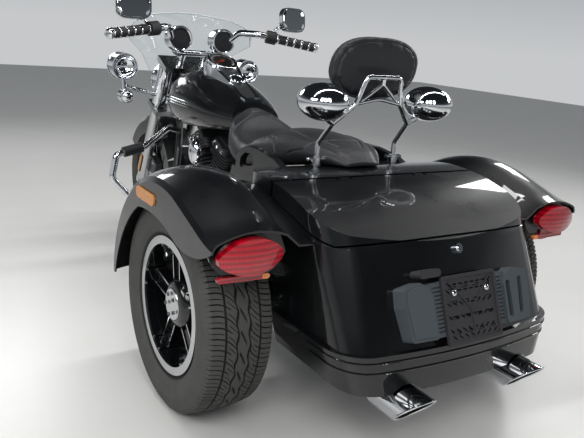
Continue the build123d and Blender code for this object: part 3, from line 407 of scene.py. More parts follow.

# %% [markdown]
# The lenses are moulded acrylic, coloured through. Acrylic bends light as glass does and is
# perfectly smooth outside, so the outer gloss is a coat, while prisms 6 mm wide and 14 mm high are
# moulded on the inside and break the red into facets. Across each facet the red runs from dark to
# light: painted shade and highlight. The strip under each tail lamp is the same moulding with an
# amber end towards the middle. The windshield is clear polycarbonate sheet.

# %% Lenses and the clear screen
red_acrylic, tree, shader = start_finish("red_acrylic_lens", "#b0081a", 0.08, 0.0,
                                         {"Transmission Weight": 0.1, "IOR": 1.49, "Coat Weight": 1.0,
                                          "Coat Roughness": 0.015})
half_prism_width, half_prism_height = 3 * MM, 7 * MM
inner_end_y, strip_top_z = 0.536, 0.5405
place = add(tree, "TexCoord")
parts = add(tree, "SeparateXYZ", None, {"Vector": place.outputs["Object"]})
across = add(tree, "Math", {"operation": "PINGPONG", 1: half_prism_width}, {0: parts.outputs["Y"]})
upward = add(tree, "Math", {"operation": "PINGPONG", 1: half_prism_height}, {0: parts.outputs["Z"]})
prism = add(tree, "Math", {"operation": "ADD"}, {0: across, 1: upward})
prism_bump = add(tree, "Bump", {"Strength": 0.25, "Distance": 0.3}, {"Height": prism})
feed(shader, {"Normal": prism_bump})
# Painted shade and highlight: the red darkens and lightens across each prism.
shade = add(tree, "MapRange", {"From Min": 0.0, "From Max": half_prism_width + half_prism_height},
            {"Value": prism})
red = add(tree, "Mix", {"data_type": "RGBA", 6: linear("#6e0410"), 7: linear("#c40a24")}, {0: shade})
sideways = add(tree, "Math", {"operation": "ABSOLUTE"}, {0: parts.outputs["Y"]})
inner_end = add(tree, "Math", {"operation": "LESS_THAN", 1: inner_end_y}, {0: sideways})
on_strip = add(tree, "Math", {"operation": "LESS_THAN", 1: strip_top_z}, {0: parts.outputs["Z"]})
amber_end = add(tree, "Math", {"operation": "MULTIPLY"}, {0: inner_end, 1: on_strip})
lens_colour = add(tree, "Mix", {"data_type": "RGBA", 7: linear("#f08a3c")}, {0: amber_end, 6: red})
feed(shader, {"Base Color": lens_colour})

amber_acrylic = plain_finish("amber_acrylic_lens", "#e08a1c", 0.06, 0.0,
                             {"Transmission Weight": 0.4, "IOR": 1.49, "Coat Weight": 0.6},
                             mottled=("#d0781a", "#f0a43a", 10))

clear_polycarbonate = plain_finish("clear_polycarbonate", "#f4f8f8", 0.0, 0.0,
                                   {"Transmission Weight": 1.0, "IOR": 1.45})

lamp_glass = plain_finish("lamp_glass", "#ffffff", 0.02, 0.0, {"Transmission Weight": 1.0, "IOR": 1.45})
mirror_glass = plain_finish("silvered_mirror_glass", "#e8ebee", 0.015, 1.0)

# %% [markdown]
# A cast wheel is painted black all over and then turned on a lathe, which cuts the paint from the
# faces that stand out: the lip, the ridges along the spokes' edges, the cap in the middle, and the
# ribs along the barrel. The brake disc behind it is ground steel. The finish tells them apart by
# two measures of a point: how far out it lies along the axle, and how far from the axle.

# %% Painted wheels with turned faces
def wheel_finish(name, centre, outward, bare_bands, disc_band):
    """Black paint with bare metal in bands. Each band is (lowest and highest distance outwards
    along the axle, lowest and highest radius), in millimetres from the wheel's middle. The disc's
    band has distances only. Outward is 1 or -1, or 0 for a wheel that is alike on both sides."""
    material, tree, shader = start_finish(name, "#0b0c0e", 0.2, 0.0,
                                          {"Specular IOR Level": 0.3, "Coat Weight": 0.8,
                                           "Coat Roughness": 0.03})
    coordinates = add(tree, "TexCoord")
    local = add(tree, "Mapping", {"Location": tuple(-np.array(centre))},
                {"Vector": coordinates.outputs["Object"]})
    parts = add(tree, "SeparateXYZ", None, {"Vector": local})
    if outward == 0:
        along = add(tree, "Math", {"operation": "ABSOLUTE"}, {0: parts.outputs["Y"]})
    else:
        along = add(tree, "Math", {"operation": "MULTIPLY", 1: float(outward)}, {0: parts.outputs["Y"]})
    flat = add(tree, "Mapping", {"Scale": (1, 0, 1)}, {"Vector": local})
    radius = add(tree, "VectorMath", {"operation": "LENGTH"}, {0: flat})
    low, high = disc_band
    metal = add(tree, "Math", {"operation": "COMPARE", 1: (low + high) / 2 * MM,
                               2: (high - low) / 2 * MM}, {0: along})
    for low, high, inner, outer in bare_bands:
        in_depth = add(tree, "Math", {"operation": "COMPARE", 1: (low + high) / 2 * MM,
                                      2: (high - low) / 2 * MM}, {0: along})
        in_ring = add(tree, "Math", {"operation": "COMPARE", 1: (inner + outer) / 2 * MM,
                                     2: (outer - inner) / 2 * MM}, {0: radius})
        band = add(tree, "Math", {"operation": "MULTIPLY"}, {0: in_depth, 1: in_ring})
        metal = add(tree, "Math", {"operation": "MAXIMUM"}, {0: metal, 1: band})
    lathe_feed = 1.6 * MM
    phase = add(tree, "Math", {"operation": "MULTIPLY", 1: 2 * np.pi / lathe_feed}, {0: radius})
    turning = add(tree, "Math", {"operation": "SINE"}, {0: phase})
    lathe_marks = add(tree, "MapRange", {"From Min": -1.0, "To Min": 0.2, "To Max": 0.32},
                      {"Value": turning})
    colour = add(tree, "Mix", {"data_type": "RGBA", 6: linear("#0b0c0e"), 7: linear("#c3c5c7")},
                 {0: metal})
    rough = add(tree, "Mix", {2: 0.2}, {0: metal, 3: lathe_marks})
    feed(shader, {"Base Color": colour, "Metallic": metal, "Roughness": rough})
    return material


# Lip, cap, ridges along the spokes' edges, and ribs along the barrel
rear_bands = [(79.5, 95, 150, 240), (66.5, 95, 0, 48.5), (51.6, 52.4, 80, 190), (22, 86, 173.4, 175.6)]
rear_disc = (-70, -50)
wheel_left = wheel_finish("turned_black_wheel_left", rear_wheel_place, 1, rear_bands, rear_disc)
wheel_right = wheel_finish("turned_black_wheel_right", right_wheel_place, -1, rear_bands, rear_disc)
# Lips and ridges, alike on both sides
front_bands = [(37.5, 47, 150, 240), (29.6, 30.4, 60, 205)]
wheel_front = wheel_finish("turned_black_wheel_front", front_wheel_place, 0, front_bands, (55.5, 64.5))

# %% [markdown]
# The CAD nodes whose shapes are right now take their finishes. The tyres, seat and pad get new
# surfaces further down.

# %% Finish the CAD pieces
finish_node(black_enamel, "grab_rails", "fuel_tank", "side_covers", "body_tub", "trunk_lid", "rear_bumper",
            "fender_left", "fender_right", "front_fender")
finish_node(chromium, "engine_covers", "exhaust_pipes", "tank_console", "backrest_frame",
            "engine_guard", "nacelle", "front_lamps", "handlebar", "mirrors", "bar_speakers", "trunk_lock")
finish_node(powder_coat, "frame", "rear_axle", "rear_shocks")
finish_node(wrinkle_black, "engine_block", "cylinders")
finish_node(polished_aluminium, "fork")
finish_node(anodised_casting, "front_calipers", "rear_calipers")
finish_node(tray_abs, "plate_tray")
finish_node(black_abs, "foot_rests", "console_insert")
finish_node(amber_acrylic, "side_markers")
finish_node(grey_abs, "plate_housing")
finish_node(red_acrylic, "tail_lamps")
finish_node(clear_polycarbonate, "windshield")
finish_node(wheel_left, "rear_rim_left")
finish_node(wheel_right, "rear_rim_right")
finish_node(wheel_front, "front_rim")
finish_node(tyre_rubber, "front_tyre", "rear_tyre_left", "rear_tyre_right")
finish_node(black_vinyl, "seat", "backrest_pad")


# %% [markdown]
# A tyre is one outline turned round its axle. Its tread is cut in the same step: the grid's rows
# are slanted so that they run along the lateral cuts, nearly square to the tyre at its shoulders
# and steeply towards the middle. Its columns sit at the edges of the grooves round the tyre, and
# those next to the middle wander from side to side, which makes these grooves zigzag. The depth
# at a point is the deepest of several patterns. Each is a pattern that repeats round the tyre
# times one that says where across the tyre it holds.

# %% Treaded tyres
shoulder_drop = 0.045
# Rows of one pitch, as shares of it
pitch_steps = np.array([0.0, 0.014, 0.124, 0.138, 0.32, 0.5, 0.515, 0.575, 0.59, 0.8])


def tyre_outline(size):
    """One sidewall from the bead to the shoulder as (y, radius) rows, with raised rings on it,
    and the edges' places. The wall is a circle's arc through its widest point. The tread's edge
    lies lower than its middle by the tread's width times shoulder_drop."""
    outer, width, tread, bead_radius, between_flanges = size
    bead = between_flanges / 2 - 0.3
    flange_top = bead_radius + 18
    shoulder, edge_radius = tread / 2, outer - tread * shoulder_drop
    widest = (width / 2, (flange_top + outer) / 2 - 6)
    wall = arc_through((bead, flange_top), widest, (shoulder, edge_radius), 22)
    for share, height in ((0.25, 0.9), (0.32, 0.6), (0.86, 0.8)):
        middle = flange_top + share * (edge_radius - flange_top)
        wall[:, 0] += height * np.exp(-((wall[:, 1] - middle) / 2.2) ** 2)
    return wall, bead, shoulder, edge_radius


def tread_columns(shoulder, zigzag, straight):
    """Places across the tread: an even row, and both edges of each groove with their feet."""
    marks = [np.linspace(-shoulder, shoulder, 33)]
    for middle, half in (zigzag, straight):
        edges = np.array((-half - 0.9, -half, half, half + 0.9))
        marks += [edges - middle, edges + middle]
    across = np.unique(np.round(np.concatenate(marks), 2))
    return across[np.concatenate([[True], np.diff(across) > 0.7])]


def tread_depth(out, pitches, zigzag, straight):
    """Depth of the tread in millimetres for rows round the tyre and columns at a distance out
    from its middle. A pitch has ten rows: 1 and 2 are the edges of a wide cut, 6 and 7 those of
    a thin one, and 1 to 4 of every second pitch hold a short slit in the middle rib."""
    wide_depth, thin_depth, slit_depth, groove_depth = 6.0, 4.5, 5.0, 6.5
    row = np.tile(np.arange(len(pitch_steps)), pitches)[:, None]
    even = np.repeat(np.arange(pitches) % 2 == 0, len(pitch_steps))[:, None]
    wide_row = (row == 1) | (row == 2)
    thin_row = (row == 6) | (row == 7)
    slit_row = (row >= 1) & (row <= 4) & even
    outside = out > straight[0]
    between = (out > zigzag[0]) & ~outside
    half_way = out > (zigzag[0] + straight[0]) / 2
    depth = wide_depth * wide_row * (outside | (between & (half_way | even)))
    depth = np.maximum(depth, thin_depth * thin_row * (outside & (out > straight[0] + 7)))
    depth = np.maximum(depth, thin_depth * thin_row * between * (out < straight[0] - 8))
    depth = np.maximum(depth, slit_depth * slit_row * (out < zigzag[0] * 0.45))
    for middle, half in (zigzag, straight):
        depth = np.maximum(depth, groove_depth * (np.abs(out - middle) < half + 0.1))
    return depth


def tyre_shape(centre, size, pitches, zigzag, straight, lead_mm):
    """A treaded tyre round Y, measures in millimetres. zigzag and straight are (place, half width)
    of the grooves beside the middle and further out. A cut leads the middle by
    lead_mm * (1 - (1 - t) ** 2.6) at a share t of the way to the shoulder."""
    outer, bead_radius = size[0], size[3]
    wall, bead, shoulder, edge_radius = tyre_outline(size)
    across = tread_columns(shoulder, zigzag, straight)
    crown_line = arc_through((-shoulder, edge_radius), (0, outer), (shoulder, edge_radius), 201)
    crown = np.interp(across, crown_line[:, 0], crown_line[:, 1])
    bead_foot = bead_radius + 0.3
    profile_y = np.concatenate([[-bead], -wall[:-1, 0], across, wall[-2::-1, 0], [bead]])
    profile_r = np.concatenate([[bead_foot], wall[:-1, 1], crown, wall[-2::-1, 1], [bead_foot]])
    out = np.abs(profile_y)
    on_tread = np.clip((shoulder + 9 - out) / 9, 0, 1) * (profile_r > edge_radius - 13)
    depth = tread_depth(out, pitches, zigzag, straight) * on_tread

    turn = (np.arange(pitches)[:, None] + pitch_steps).ravel() / pitches
    share = np.clip(out / shoulder, 0, 1)
    lead = lead_mm / (2 * np.pi * outer) * (1 - (1 - share) ** 2.6) * np.sign(profile_y)
    angle = 2 * np.pi * (turn[:, None] + lead)
    swing = 3.6 * np.sin(np.pi * pitches * turn)[:, None] * np.exp(-((out - zigzag[0]) / 7) ** 2)
    rib_band = np.abs((profile_r - bead_radius) / (outer - bead_radius) - 0.66) < 0.07
    odd_row = np.tile(np.arange(len(pitch_steps)) % 2, pitches)
    swing = swing + 0.7 * odd_row[:, None] * (rib_band & (out > shoulder))
    y = profile_y + swing * np.sign(profile_y)
    radius = profile_r - depth
    points = np.stack([radius * np.sin(angle), y, radius * np.cos(angle)], -1)
    return grid(np.array(centre) + points * MM, close_rows=True, close_columns=True)


def mark_cuts(tyre, centre, size):
    """Stores how deep each corner of a tyre's tread lies below its crown, as an attribute that is
    0 down to 0.8 mm and 1 from 4.3 mm on."""
    outer, tread = size[0], size[2]
    x, y, z = ((corners_of(tyre) - centre) / MM).T
    crown = outer - tread * shoulder_drop * np.clip(np.abs(y) / (tread / 2), 0, 1) ** 2
    below = np.clip((crown - np.hypot(x, z) - 0.8) / 3.5, 0, 1) * (np.abs(y) < tread / 2 + 1)
    # The tyre's finish paints the bottoms of the cuts near black as shade by this attribute.
    attribute = tyre.data.attributes.new("cut", "FLOAT", "POINT")
    attribute.data.foreach_set("value", below.astype(np.float32))


# Outer radius, width, tread's width, bead's radius, and width between the rim's flanges
rear_size = (324, 209, 176, 190.5, 160)
front_size = (320, 130, 104, 203.2, 76)
rear_tyre = tyre_shape(rear_wheel_place, rear_size, 66, (18, 2.4), (51, 2.6), 74)
front_tyre = tyre_shape(front_wheel_place, front_size, 60, (12, 1.8), (30, 2.0), 56)
for node, shape, centre, size in (("rear_tyre_left", rear_tyre, rear_wheel_place, rear_size),
                                  ("rear_tyre_right", other_side(rear_tyre), right_wheel_place, rear_size),
                                  ("front_tyre", front_tyre, front_wheel_place, front_size)):
    body = node.replace("tyre", "wheel")
    tread = piece(node + "_tread", shape, body, tyre_rubber, [node], 28)
    mark_cuts(tread, centre, size)

# %% [markdown]
# The seat is one moulded foam body under stretched vinyl: a domed nose over the tank's end, a
# bucket for the rider, and a raised cushion for the passenger. It is a row of cross-sections, each
# a flat base, two bulging sides and a dome, blended along the machine by smooth curves. Seams pull
# the cover in, so each seam is a valley whose depth falls off with distance from its line.

# %% Seat surface
# x, base z and half width, side z and half width, shoulder z and half width, top z
seat_table = np.array([
    (-62, 722, 62, 732, 76, 742, 60, 746),
    (0, 720, 100, 746, 122, 768, 80, 776),
    (80, 717, 124, 752, 150, 782, 104, 796),
    (220, 686, 160, 738, 186, 784, 120, 806),
    (350, 652, 175, 712, 200, 762, 130, 790),
    (440, 636, 176, 680, 196, 722, 140, 742),
    (540, 632, 150, 690, 182, 742, 140, 752),
    (610, 650, 110, 712, 160, 780, 100, 808),
    (690, 752, 60, 784, 100, 816, 62, 836),
], float)


def seat_surface(stations=280):
    """Cross-sections along the seat: a bulging side up to each shoulder, a dome between the
    shoulders, and a flat base. All are circles' arcs whose corners come from the table."""
    rows = smooth_path(seat_table, stations)
    x, low, half_low, middle, half_middle, shoulder, half_shoulder, top = rows.T
    ring = []
    for start, through, end, count in (
            ((half_low, low), (half_middle, middle), (half_shoulder, shoulder), 34),
            ((half_shoulder, shoulder), (0 * x, top), (-half_shoulder, shoulder), 61),
            ((-half_shoulder, shoulder), (-half_middle, middle), (-half_low, low), 34)):
        ring.append(arc_rows(start, through, end, count)[:, :-1])
    base = np.linspace(-1, 1, 20)[None, :] * half_low[:, None]
    ring.append(np.stack([base[:, :-1], np.broadcast_to(low[:, None], base[:, :-1].shape)], -1))
    section = np.concatenate(ring, axis=1)
    return np.concatenate([np.broadcast_to(x[:, None, None], section.shape[:2] + (1,)), section], -1)


def distance_to_line(points, line):
    """The distance of every point to a line that is first laid on the surface: each sample of
    the line moves to the point nearest to it."""
    nearest = np.full(len(points), 1e9)
    for sample in smooth_path(line, 200):
        laid = points[np.argmin(np.sum((points - sample) ** 2, axis=1))]
        nearest = np.minimum(nearest, np.sum((points - laid) ** 2, axis=1))
    return np.sqrt(nearest)


def closed_ends(points, reach):
    """Rounds off both ends of a lofted body: more rings that shrink to the middle of the end ring
    while they move out, along a quarter of an ellipse."""
    turn = np.linspace(0, np.pi / 2, 7)[1:]
    rings = []
    for end, sign in ((0, -1), (-1, 1)):
        ring = points[end]
        middle = ring.mean(axis=0)
        cap = middle + (ring - middle) * np.cos(turn)[:, None, None]
        cap[..., 0] += sign * reach[end] * np.sin(turn)[:, None]
        rings.append(cap)
    return np.concatenate([rings[0][::-1], points, rings[1]])


# %% [markdown]
# Stuffed vinyl is a skin under tension, so the plain form is made a little too small and then
# blown up: an even mesh of small cells becomes cloth, pressure swells it for twenty frames with
# gravity off, and no point may move more than a few millimetres. The seams are sewn afterwards as
# valleys, because the even mesh is coarser than a seam.

# %% Stuffing and seams
def baked(obj):
    """The object's mesh with its modifiers applied, and no modifier left on it."""
    finish = obj.data.materials[0]
    obj.data = bpy.data.meshes.new_from_object(obj.evaluated_get(bpy.context.evaluated_depsgraph_get()))
    obj.modifiers.clear()
    obj.data.materials.clear()
    obj.data.materials.append(finish)
    obj.data.shade_smooth()


def stuffed(obj, cell_mm, pressure, smaller_mm, most_mm, frames=20):
    """Draws a closed piece in by smaller_mm and swells it as cloth under pressure, each corner by
    most_mm at most."""
    even = obj.modifiers.new("even_cells", "REMESH")
    even.mode = "VOXEL"
    even.voxel_size = cell_mm * MM
    baked(obj)
    rest = corners_of(obj) - corners_of(obj, "normal") * smaller_mm * MM
    obj.data.vertices.foreach_set("co", rest.ravel())
    cloth = obj.modifiers.new("stuffing", "CLOTH")
    cloth.settings.quality = 6
    cloth.settings.mass = 0.3
    cloth.settings.tension_stiffness = 12
    cloth.settings.compression_stiffness = 12
    cloth.settings.bending_stiffness = 0.4
    cloth.settings.use_pressure = True
    cloth.settings.uniform_pressure_force = pressure
    cloth.settings.effector_weights.gravity = 0.0
    cloth.point_cache.frame_start = 1
    cloth.point_cache.frame_end = frames
    for frame_number in range(1, frames + 1):
        bpy.context.scene.frame_set(frame_number)
    baked(obj)
    move = corners_of(obj) - rest
    length = np.linalg.norm(move, axis=1, keepdims=True) + 1e-9
    move *= np.minimum(length, most_mm * MM) / length
    obj.data.vertices.foreach_set("co", (rest + move).ravel())
    bpy.context.scene.frame_set(1)
    finer = obj.modifiers.new("finer", "SUBSURF")
    finer.levels = finer.render_levels = 1
    baked(obj)
    print(obj.name, "swelled by", round(float(length.mean()) / MM, 2), "mm on average,", len(rest), "cells")


def sewn(obj, lines, depth_mm, width_mm, fold_mm=1.2):
    """Pulls the cover in along seams: a valley of one depth and width, between two low folds."""
    points = corners_of(obj)
    normals = corners_of(obj, "normal")
    measures = (points - at((0, 0, 0))) / MM
    sink = np.zeros(len(points))
    for line in lines:
        away = distance_to_line(measures, line)
        sink = np.maximum(sink, depth_mm * np.exp(-(away / width_mm) ** 2)
                          - fold_mm * np.exp(-((away - 2.5 * width_mm) / (1.7 * width_mm)) ** 2))
    obj.data.vertices.foreach_set("co", (points - normals * sink[:, None] * MM).ravel())


seat_points = closed_ends(seat_surface(), {0: 8, -1: 12})
seat = piece("seat_cover", grid(at(seat_points), close_columns=True), "chassis", black_vinyl,
             ["seat"], 60)
stuffed(seat, 6, 4.0, 5, 6)


def across_middle(half):
    """A seam that crosses the middle plane: its left half, then the mirror image of that."""
    return half + [(x, -y, z) for x, y, z in half[-2::-1]]


front_edge = across_middle([(486, 190, 676), (440, 190, 700), (392, 182, 730), (347, 168, 760),
                            (328, 120, 782), (315, 60, 792), (312, 0, 795)])
rear_edge = across_middle([(84, 84, 786), (72, 45, 792), (68, 0, 794)])
insert_edge = [(315, 60, 793), (250, 77, 793), (163, 88, 793), (95, 86, 788), (60, 68, 786), (20, 48, 780)]
side_rise = [(322, 132, 782), (286, 150, 779), (250, 158, 774), (222, 176, 752), (207, 186, 730),
             (204, 184, 700)]
panel_edge = [(88, 90, 787), (87, 120, 781), (92, 145, 768), (130, 165, 752), (150, 172, 735)]
nose_edge = [(612, 0, 812), (606, 60, 800), (600, 110, 780), (592, 148, 740)]
left_seams = [insert_edge, side_rise, panel_edge, nose_edge]
right_seams = [[(x, -y, z) for x, y, z in line] for line in left_seams]
sewn(seat, [front_edge, rear_edge] + left_seams + right_seams, 4.5, 3.4, 1.6)

# %% [markdown]
# The seat's underside rests on the tub's roof and its carrier, and its nose meets the tank along a
# slanted plane. Corners that reach past them are set back onto them.

# %% Where the seat rests
roof_radius, roof_top_x, roof_top_z = 818.0, -68, 725.5
roof_back_x, carrier_back, carrier_front = -400, (60, 709.4), (330, 652)
clearance = 0.6
plane_x, plane_z, plane_slope = 571.4, 600, 0.4867
x, y, z = ((corners_of(seat) - at((0, 0, 0))) / MM).T
roof_x = np.clip(x, roof_back_x, carrier_front[0]) - roof_top_x
tub_roof = roof_top_z - roof_radius + np.sqrt(roof_radius ** 2 - roof_x ** 2)
carrier_top = np.interp(x, *zip(carrier_back, carrier_front))
floor_z = np.where(x < carrier_back[0], tub_roof, carrier_top) + clearance
z = np.where(x < carrier_front[0] + 1, np.maximum(z, floor_z), z)
x = np.minimum(x, plane_x + (z - plane_z) * plane_slope)
seat.data.vertices.foreach_set("co", at(np.stack([x, y, z], -1)).ravel())
seat.data.update()

# %% [markdown]
# The backrest pad is a stuffed cushion on a board. Seen from behind it is smooth: the vinyl is
# pulled round a thick edge and meets a flatter back panel at a seam. It is a closed surface whose
# outline is a rounded trapezium and whose thickness follows a superellipse from rim to middle.

# %% Backrest pad
def pad_shape(around=120, out=26):
    """Rings from the middle of the front, over the rim, to the middle of the back. Half widths
    and heights follow the outline; the pad bulges most at the front."""
    angle = np.linspace(0, 2 * np.pi, around, endpoint=False)
    power = 2.6
    cosine, sine = np.cos(angle), np.sin(angle)
    reach = (np.abs(cosine) ** power + np.abs(sine) ** power) ** (-1 / power)
    half_width = 176 - 34 * np.clip(-sine, 0, 1) ** 2 - 8 * np.clip(sine, 0, 1) ** 2
    half_height = np.where(sine > 0, 106, 104)
    turn = np.linspace(0, np.pi, 2 * out)
    shrink = np.sin(turn)[:, None] ** 0.55
    depth = np.cos(turn)
    front, back = 34, 22
    thick = np.where(depth > 0, front * np.abs(depth) ** 0.7, -back * np.abs(depth) ** 0.35)
    y = shrink * (reach * cosine * half_width)
    z = shrink * (reach * sine * half_height)
    return np.stack([np.broadcast_to(thick[:, None], y.shape), y, z], -1)


def on_backrest(local):
    """The pad's own places, which are (out from its board, sideways, up), as places from the rear
    axle: moved off the board's foot by half a pad and leaned back."""
    lean = np.radians(11)
    foot_x, foot_z, off_board = -88, 1034, 27
    out, sideways, upward = np.moveaxis(local, -1, 0)
    x = foot_x + off_board * np.cos(lean) + out * np.cos(lean) - upward * np.sin(lean)
    z = foot_z + off_board * np.sin(lean) + out * np.sin(lean) + upward * np.cos(lean)
    return np.stack([x, sideways, z], -1)


pad_local = pad_shape()
pad_surface = grid(at(on_backrest(pad_local)), close_columns=True)
pad = piece("backrest_cushion", pad_surface, "chassis", black_vinyl, ["backrest_pad"], 60)
stuffed(pad, 5, 4.0, 4, 5)
seam_half_width, seam_half_height = 150, 84
back_rings = pad_local[pad_local[:, 0, 0] < 0]
share_out = np.hypot(back_rings[:, 0, 1] / seam_half_width, back_rings[:, 0, 2] / seam_half_height)
back_seam = on_backrest(back_rings[np.argmin(np.abs(share_out - 1))])
sewn(pad, [np.vstack([back_seam[::2], back_seam[:1]])], 2.4, 3.2, 0.8)
pad.data.update()

# %% [markdown]
# Much of what CAD leaves plain is flat or turned: glass, reflectors, screws and gauge faces. A
# plate is a rounded rectangle that is pulled in to its middle, ring by ring, so that its edge can
# be bevelled and its face crowned. Screw heads are turned shapes, and six steps round the axis
# make a hexagon.

# %% Plates and screw heads
def rounded_outline(half_u, half_v, corner, per_corner=8):
    """A rounded rectangle as rows of (u, v): four quarter circles joined by straight sides."""
    turn = np.linspace(0, np.pi / 2, per_corner)
    sides = []
    for quarter, (sign_u, sign_v) in enumerate(((1, 1), (-1, 1), (-1, -1), (1, -1))):
        angle = turn + quarter * np.pi / 2
        sides.append(np.stack([sign_u * (half_u - corner) + corner * np.cos(angle),
                               sign_v * (half_v - corner) + corner * np.sin(angle)], -1))
    return np.concatenate(sides)


def plate(origin, u, v, half_u, half_v, corner, thickness, bevel=0.8, crown=0.0):
    """A closed plate on an origin, in millimetres from the rear axle. It lies along the unit
    vectors u and v and rises towards u x v. The crown is how much higher its middle is."""
    u, v = np.array(u, float), np.array(v, float)
    u /= np.linalg.norm(u)
    v = v - np.dot(u, v) * u
    v /= np.linalg.norm(v)
    normal = np.cross(u, v)
    outline = rounded_outline(half_u, half_v, corner)
    shrink = 1 - bevel / min(half_u, half_v)
    shares = np.array([0, 1, 1, shrink, 0.8 * shrink, 0.5 * shrink, 0.25 * shrink, 0])
    heights = np.array([0, 0, thickness - bevel, thickness, thickness, thickness, thickness, thickness])
    heights[3:] += crown * (1 - (shares[3:] / shrink) ** 2)
    flat = shares[:, None, None] * outline
    points = (np.array(origin, float) + flat[..., :1] * u + flat[..., 1:] * v
              + heights[:, None, None] * normal)
    return grid(at(points), close_columns=True)


def hexagon_head(place, axis, across_flats, height):
    """A hexagon head on a washer, standing on a place in millimetres from the rear axle. Its
    corners lie at 0.577 of the width across its flats."""
    rim, corner = across_flats * 0.85, across_flats * 0.577
    washer = turned([(0, 0), (0, rim), (1.2, rim), (1.2, 0)], at(place), axis, 20)
    head = turned([(1.2, 0), (1.2, corner), (height - 0.8, corner), (height, corner * 0.82), (height, 0)],
                  at(place), axis, 6)
    return joined(washer, head)


def socket_head(place, axis, radius, height):
    """A cap screw with a round hollow for its key."""
    profile = [(0, 0), (0, radius), (height - 0.7, radius), (height, radius - 0.7), (height, radius * 0.55),
               (height * 0.4, radius * 0.5), (height * 0.4, 0)]
    return turned(profile, at(place), axis, 16)


def dome_head(place, axis, radius, height):
    """A mushroom head: a quarter of an ellipse turned round its axis."""
    turn = np.linspace(0, np.pi / 2, 6)
    rows = [(0, 0)] + [(height * np.sin(t), radius * np.cos(t)) for t in turn]
    return turned(rows, at(place), axis, 20)


def round_places(centre, radius, count, first_turn=0.0):
    """Places on a circle in a plane square to Y, in millimetres from the rear axle."""
    angle = np.radians(first_turn) + 2 * np.pi * np.arange(count) / count
    x, y, z = centre
    return np.stack([x + radius * np.cos(angle), np.full(count, float(y)), z + radius * np.sin(angle)], -1)


# %% [markdown]
# Each wheel's cap is held by five screws, and a rubber valve with a metal cap stands in the
# barrel between two spokes. They turn with the wheel, so they ride on its body. The front discs
# are screwed to the hub too.

# %% Wheel screws and valves
rear_y, rear_z = rear_wheel_place[1:] / MM
between_spokes = 63
hub_screws = joined(*[socket_head(place, (0, 1, 0), 5.5, 5)
                      for place in round_places((0, rear_y + 74.0, rear_z), 32, 5, between_spokes)])
valve_turn = np.radians(between_spokes)
valve_way = np.array((np.cos(valve_turn), 0, np.sin(valve_turn)))
valve_foot = np.array((0, rear_y + 62, rear_z)) + valve_way * 176
valve_rubber = turned([(-3, 0), (-3, 8), (2, 6.5), (20, 5), (22, 0)], at(valve_foot), -valve_way, 14)
valve_cap = turned([(20, 0), (20, 4.2), (31, 4.2), (32.5, 3), (32.5, 0)], at(valve_foot), -valve_way, 14)
for side, place_on in (("left", lambda shape: shape), ("right", other_side)):
    body = "rear_wheel_" + side
    piece("hub_screws_" + side, place_on(hub_screws), body, anodised_casting)
    piece("valve_" + side, place_on(valve_rubber), body, grip_rubber)
    piece("valve_cap_" + side, place_on(valve_cap), body, chromium)

front_x, front_z = (front_wheel_place[0] - rear_axle_x) / MM, front_wheel_place[2] / MM
disc_screws = joined(*[socket_head(place, (0, 1, 0), 6, 4)
                       for place in round_places((front_x, 60.8, front_z), 50, 5, 20)])
piece("front_disc_screws", both_sides(disc_screws), "front_wheel", chromium)
front_nut = hexagon_head((front_x, 127.8, front_z), (0, 1, 0), 28, 9)
piece("front_axle_nuts", both_sides(front_nut), "steering", chromium)

# %% [markdown]
# The plate tray is bare. Two domed screws hold it to the housing, and a plain strip closes its
# foot. The lamp that lights it has a small clear lens.

# %% Plate screws, strip and lamp lens
tray_origin = np.array((-575.0, 0.0, 457.0))
tray_out = np.array((-0.927, 0.0, 0.375))
tray_down = np.array((-0.375, 0.0, -0.927))
tray_left = np.array((0.0, 1.0, 0.0))


def on_tray(across, down, out):
    """A place on the plate tray, in millimetres from its housing's middle."""
    return tray_origin + across * tray_left + down * tray_down + out * tray_out


plate_screws = joined(*[dome_head(on_tray(side * 62, -37, 9.2), tray_out, 8.5, 5) for side in (-1, 1)])
piece("plate_screws", plate_screws, "chassis", chromium)
tray_strip = plate(on_tray(0, 90, 6.0), tray_left, -tray_down, 92, 8, 2.5, 4.6, 0.8)
piece("plate_tray_strip", tray_strip, "chassis", black_enamel)
tray_lamp = plate(on_tray(136, -98, 7.9), tray_left, -tray_down, 31, 7, 6.9, 3, 0.8, 1.5)
piece("plate_lamp_lens", tray_lamp, "chassis", lamp_glass)

# %% [markdown]
# A lamp's face is four turned shapes: a rolled bezel, a silvered bowl, a small shield before the
# bulb, and a glass that is flat behind and domed in front. They stand on the flat front of the CAD
# shell. Reflectors and turn signals are moulded amber.

# %% Lamp faces, signals and reflectors
def lamp_face(centre, radius, depth):
    """Bezel, bowl, shield and glass of a lamp that looks along +X. Each is a profile of (out from
    the shell, radius) rows, worked out from the lamp's radius and the bezel's depth."""
    rim = radius - 6
    bezel = [(-4, radius - 0.5), (-4, radius + 2), (depth * 0.6, radius + 2.4), (depth, radius - 1.5),
             (depth, rim), (0.4, rim), (-4, radius - 0.5)]
    bowl = [(0.3, 0), (0.3, rim + 0.5), (depth * 0.75, rim - 0.5), (depth * 0.35, radius * 0.55),
            (1.0, radius * 0.2), (1.0, 0)]
    shield = [(1, 0), (1, radius * 0.12), (depth * 0.5, radius * 0.13), (depth * 0.62, radius * 0.08),
              (depth * 0.64, 0)]
    glass = [(depth * 0.78, 0), (depth * 0.78, rim - 0.4), (depth, rim - 0.4), (depth * 1.25, radius * 0.6),
             (depth * 1.45, radius * 0.3), (depth * 1.5, 0)]
    return [turned(profile, at(centre), (1, 0, 0), steps)
            for profile, steps in ((bezel, 56), (bowl, 56), (shield, 24), (glass, 56))]


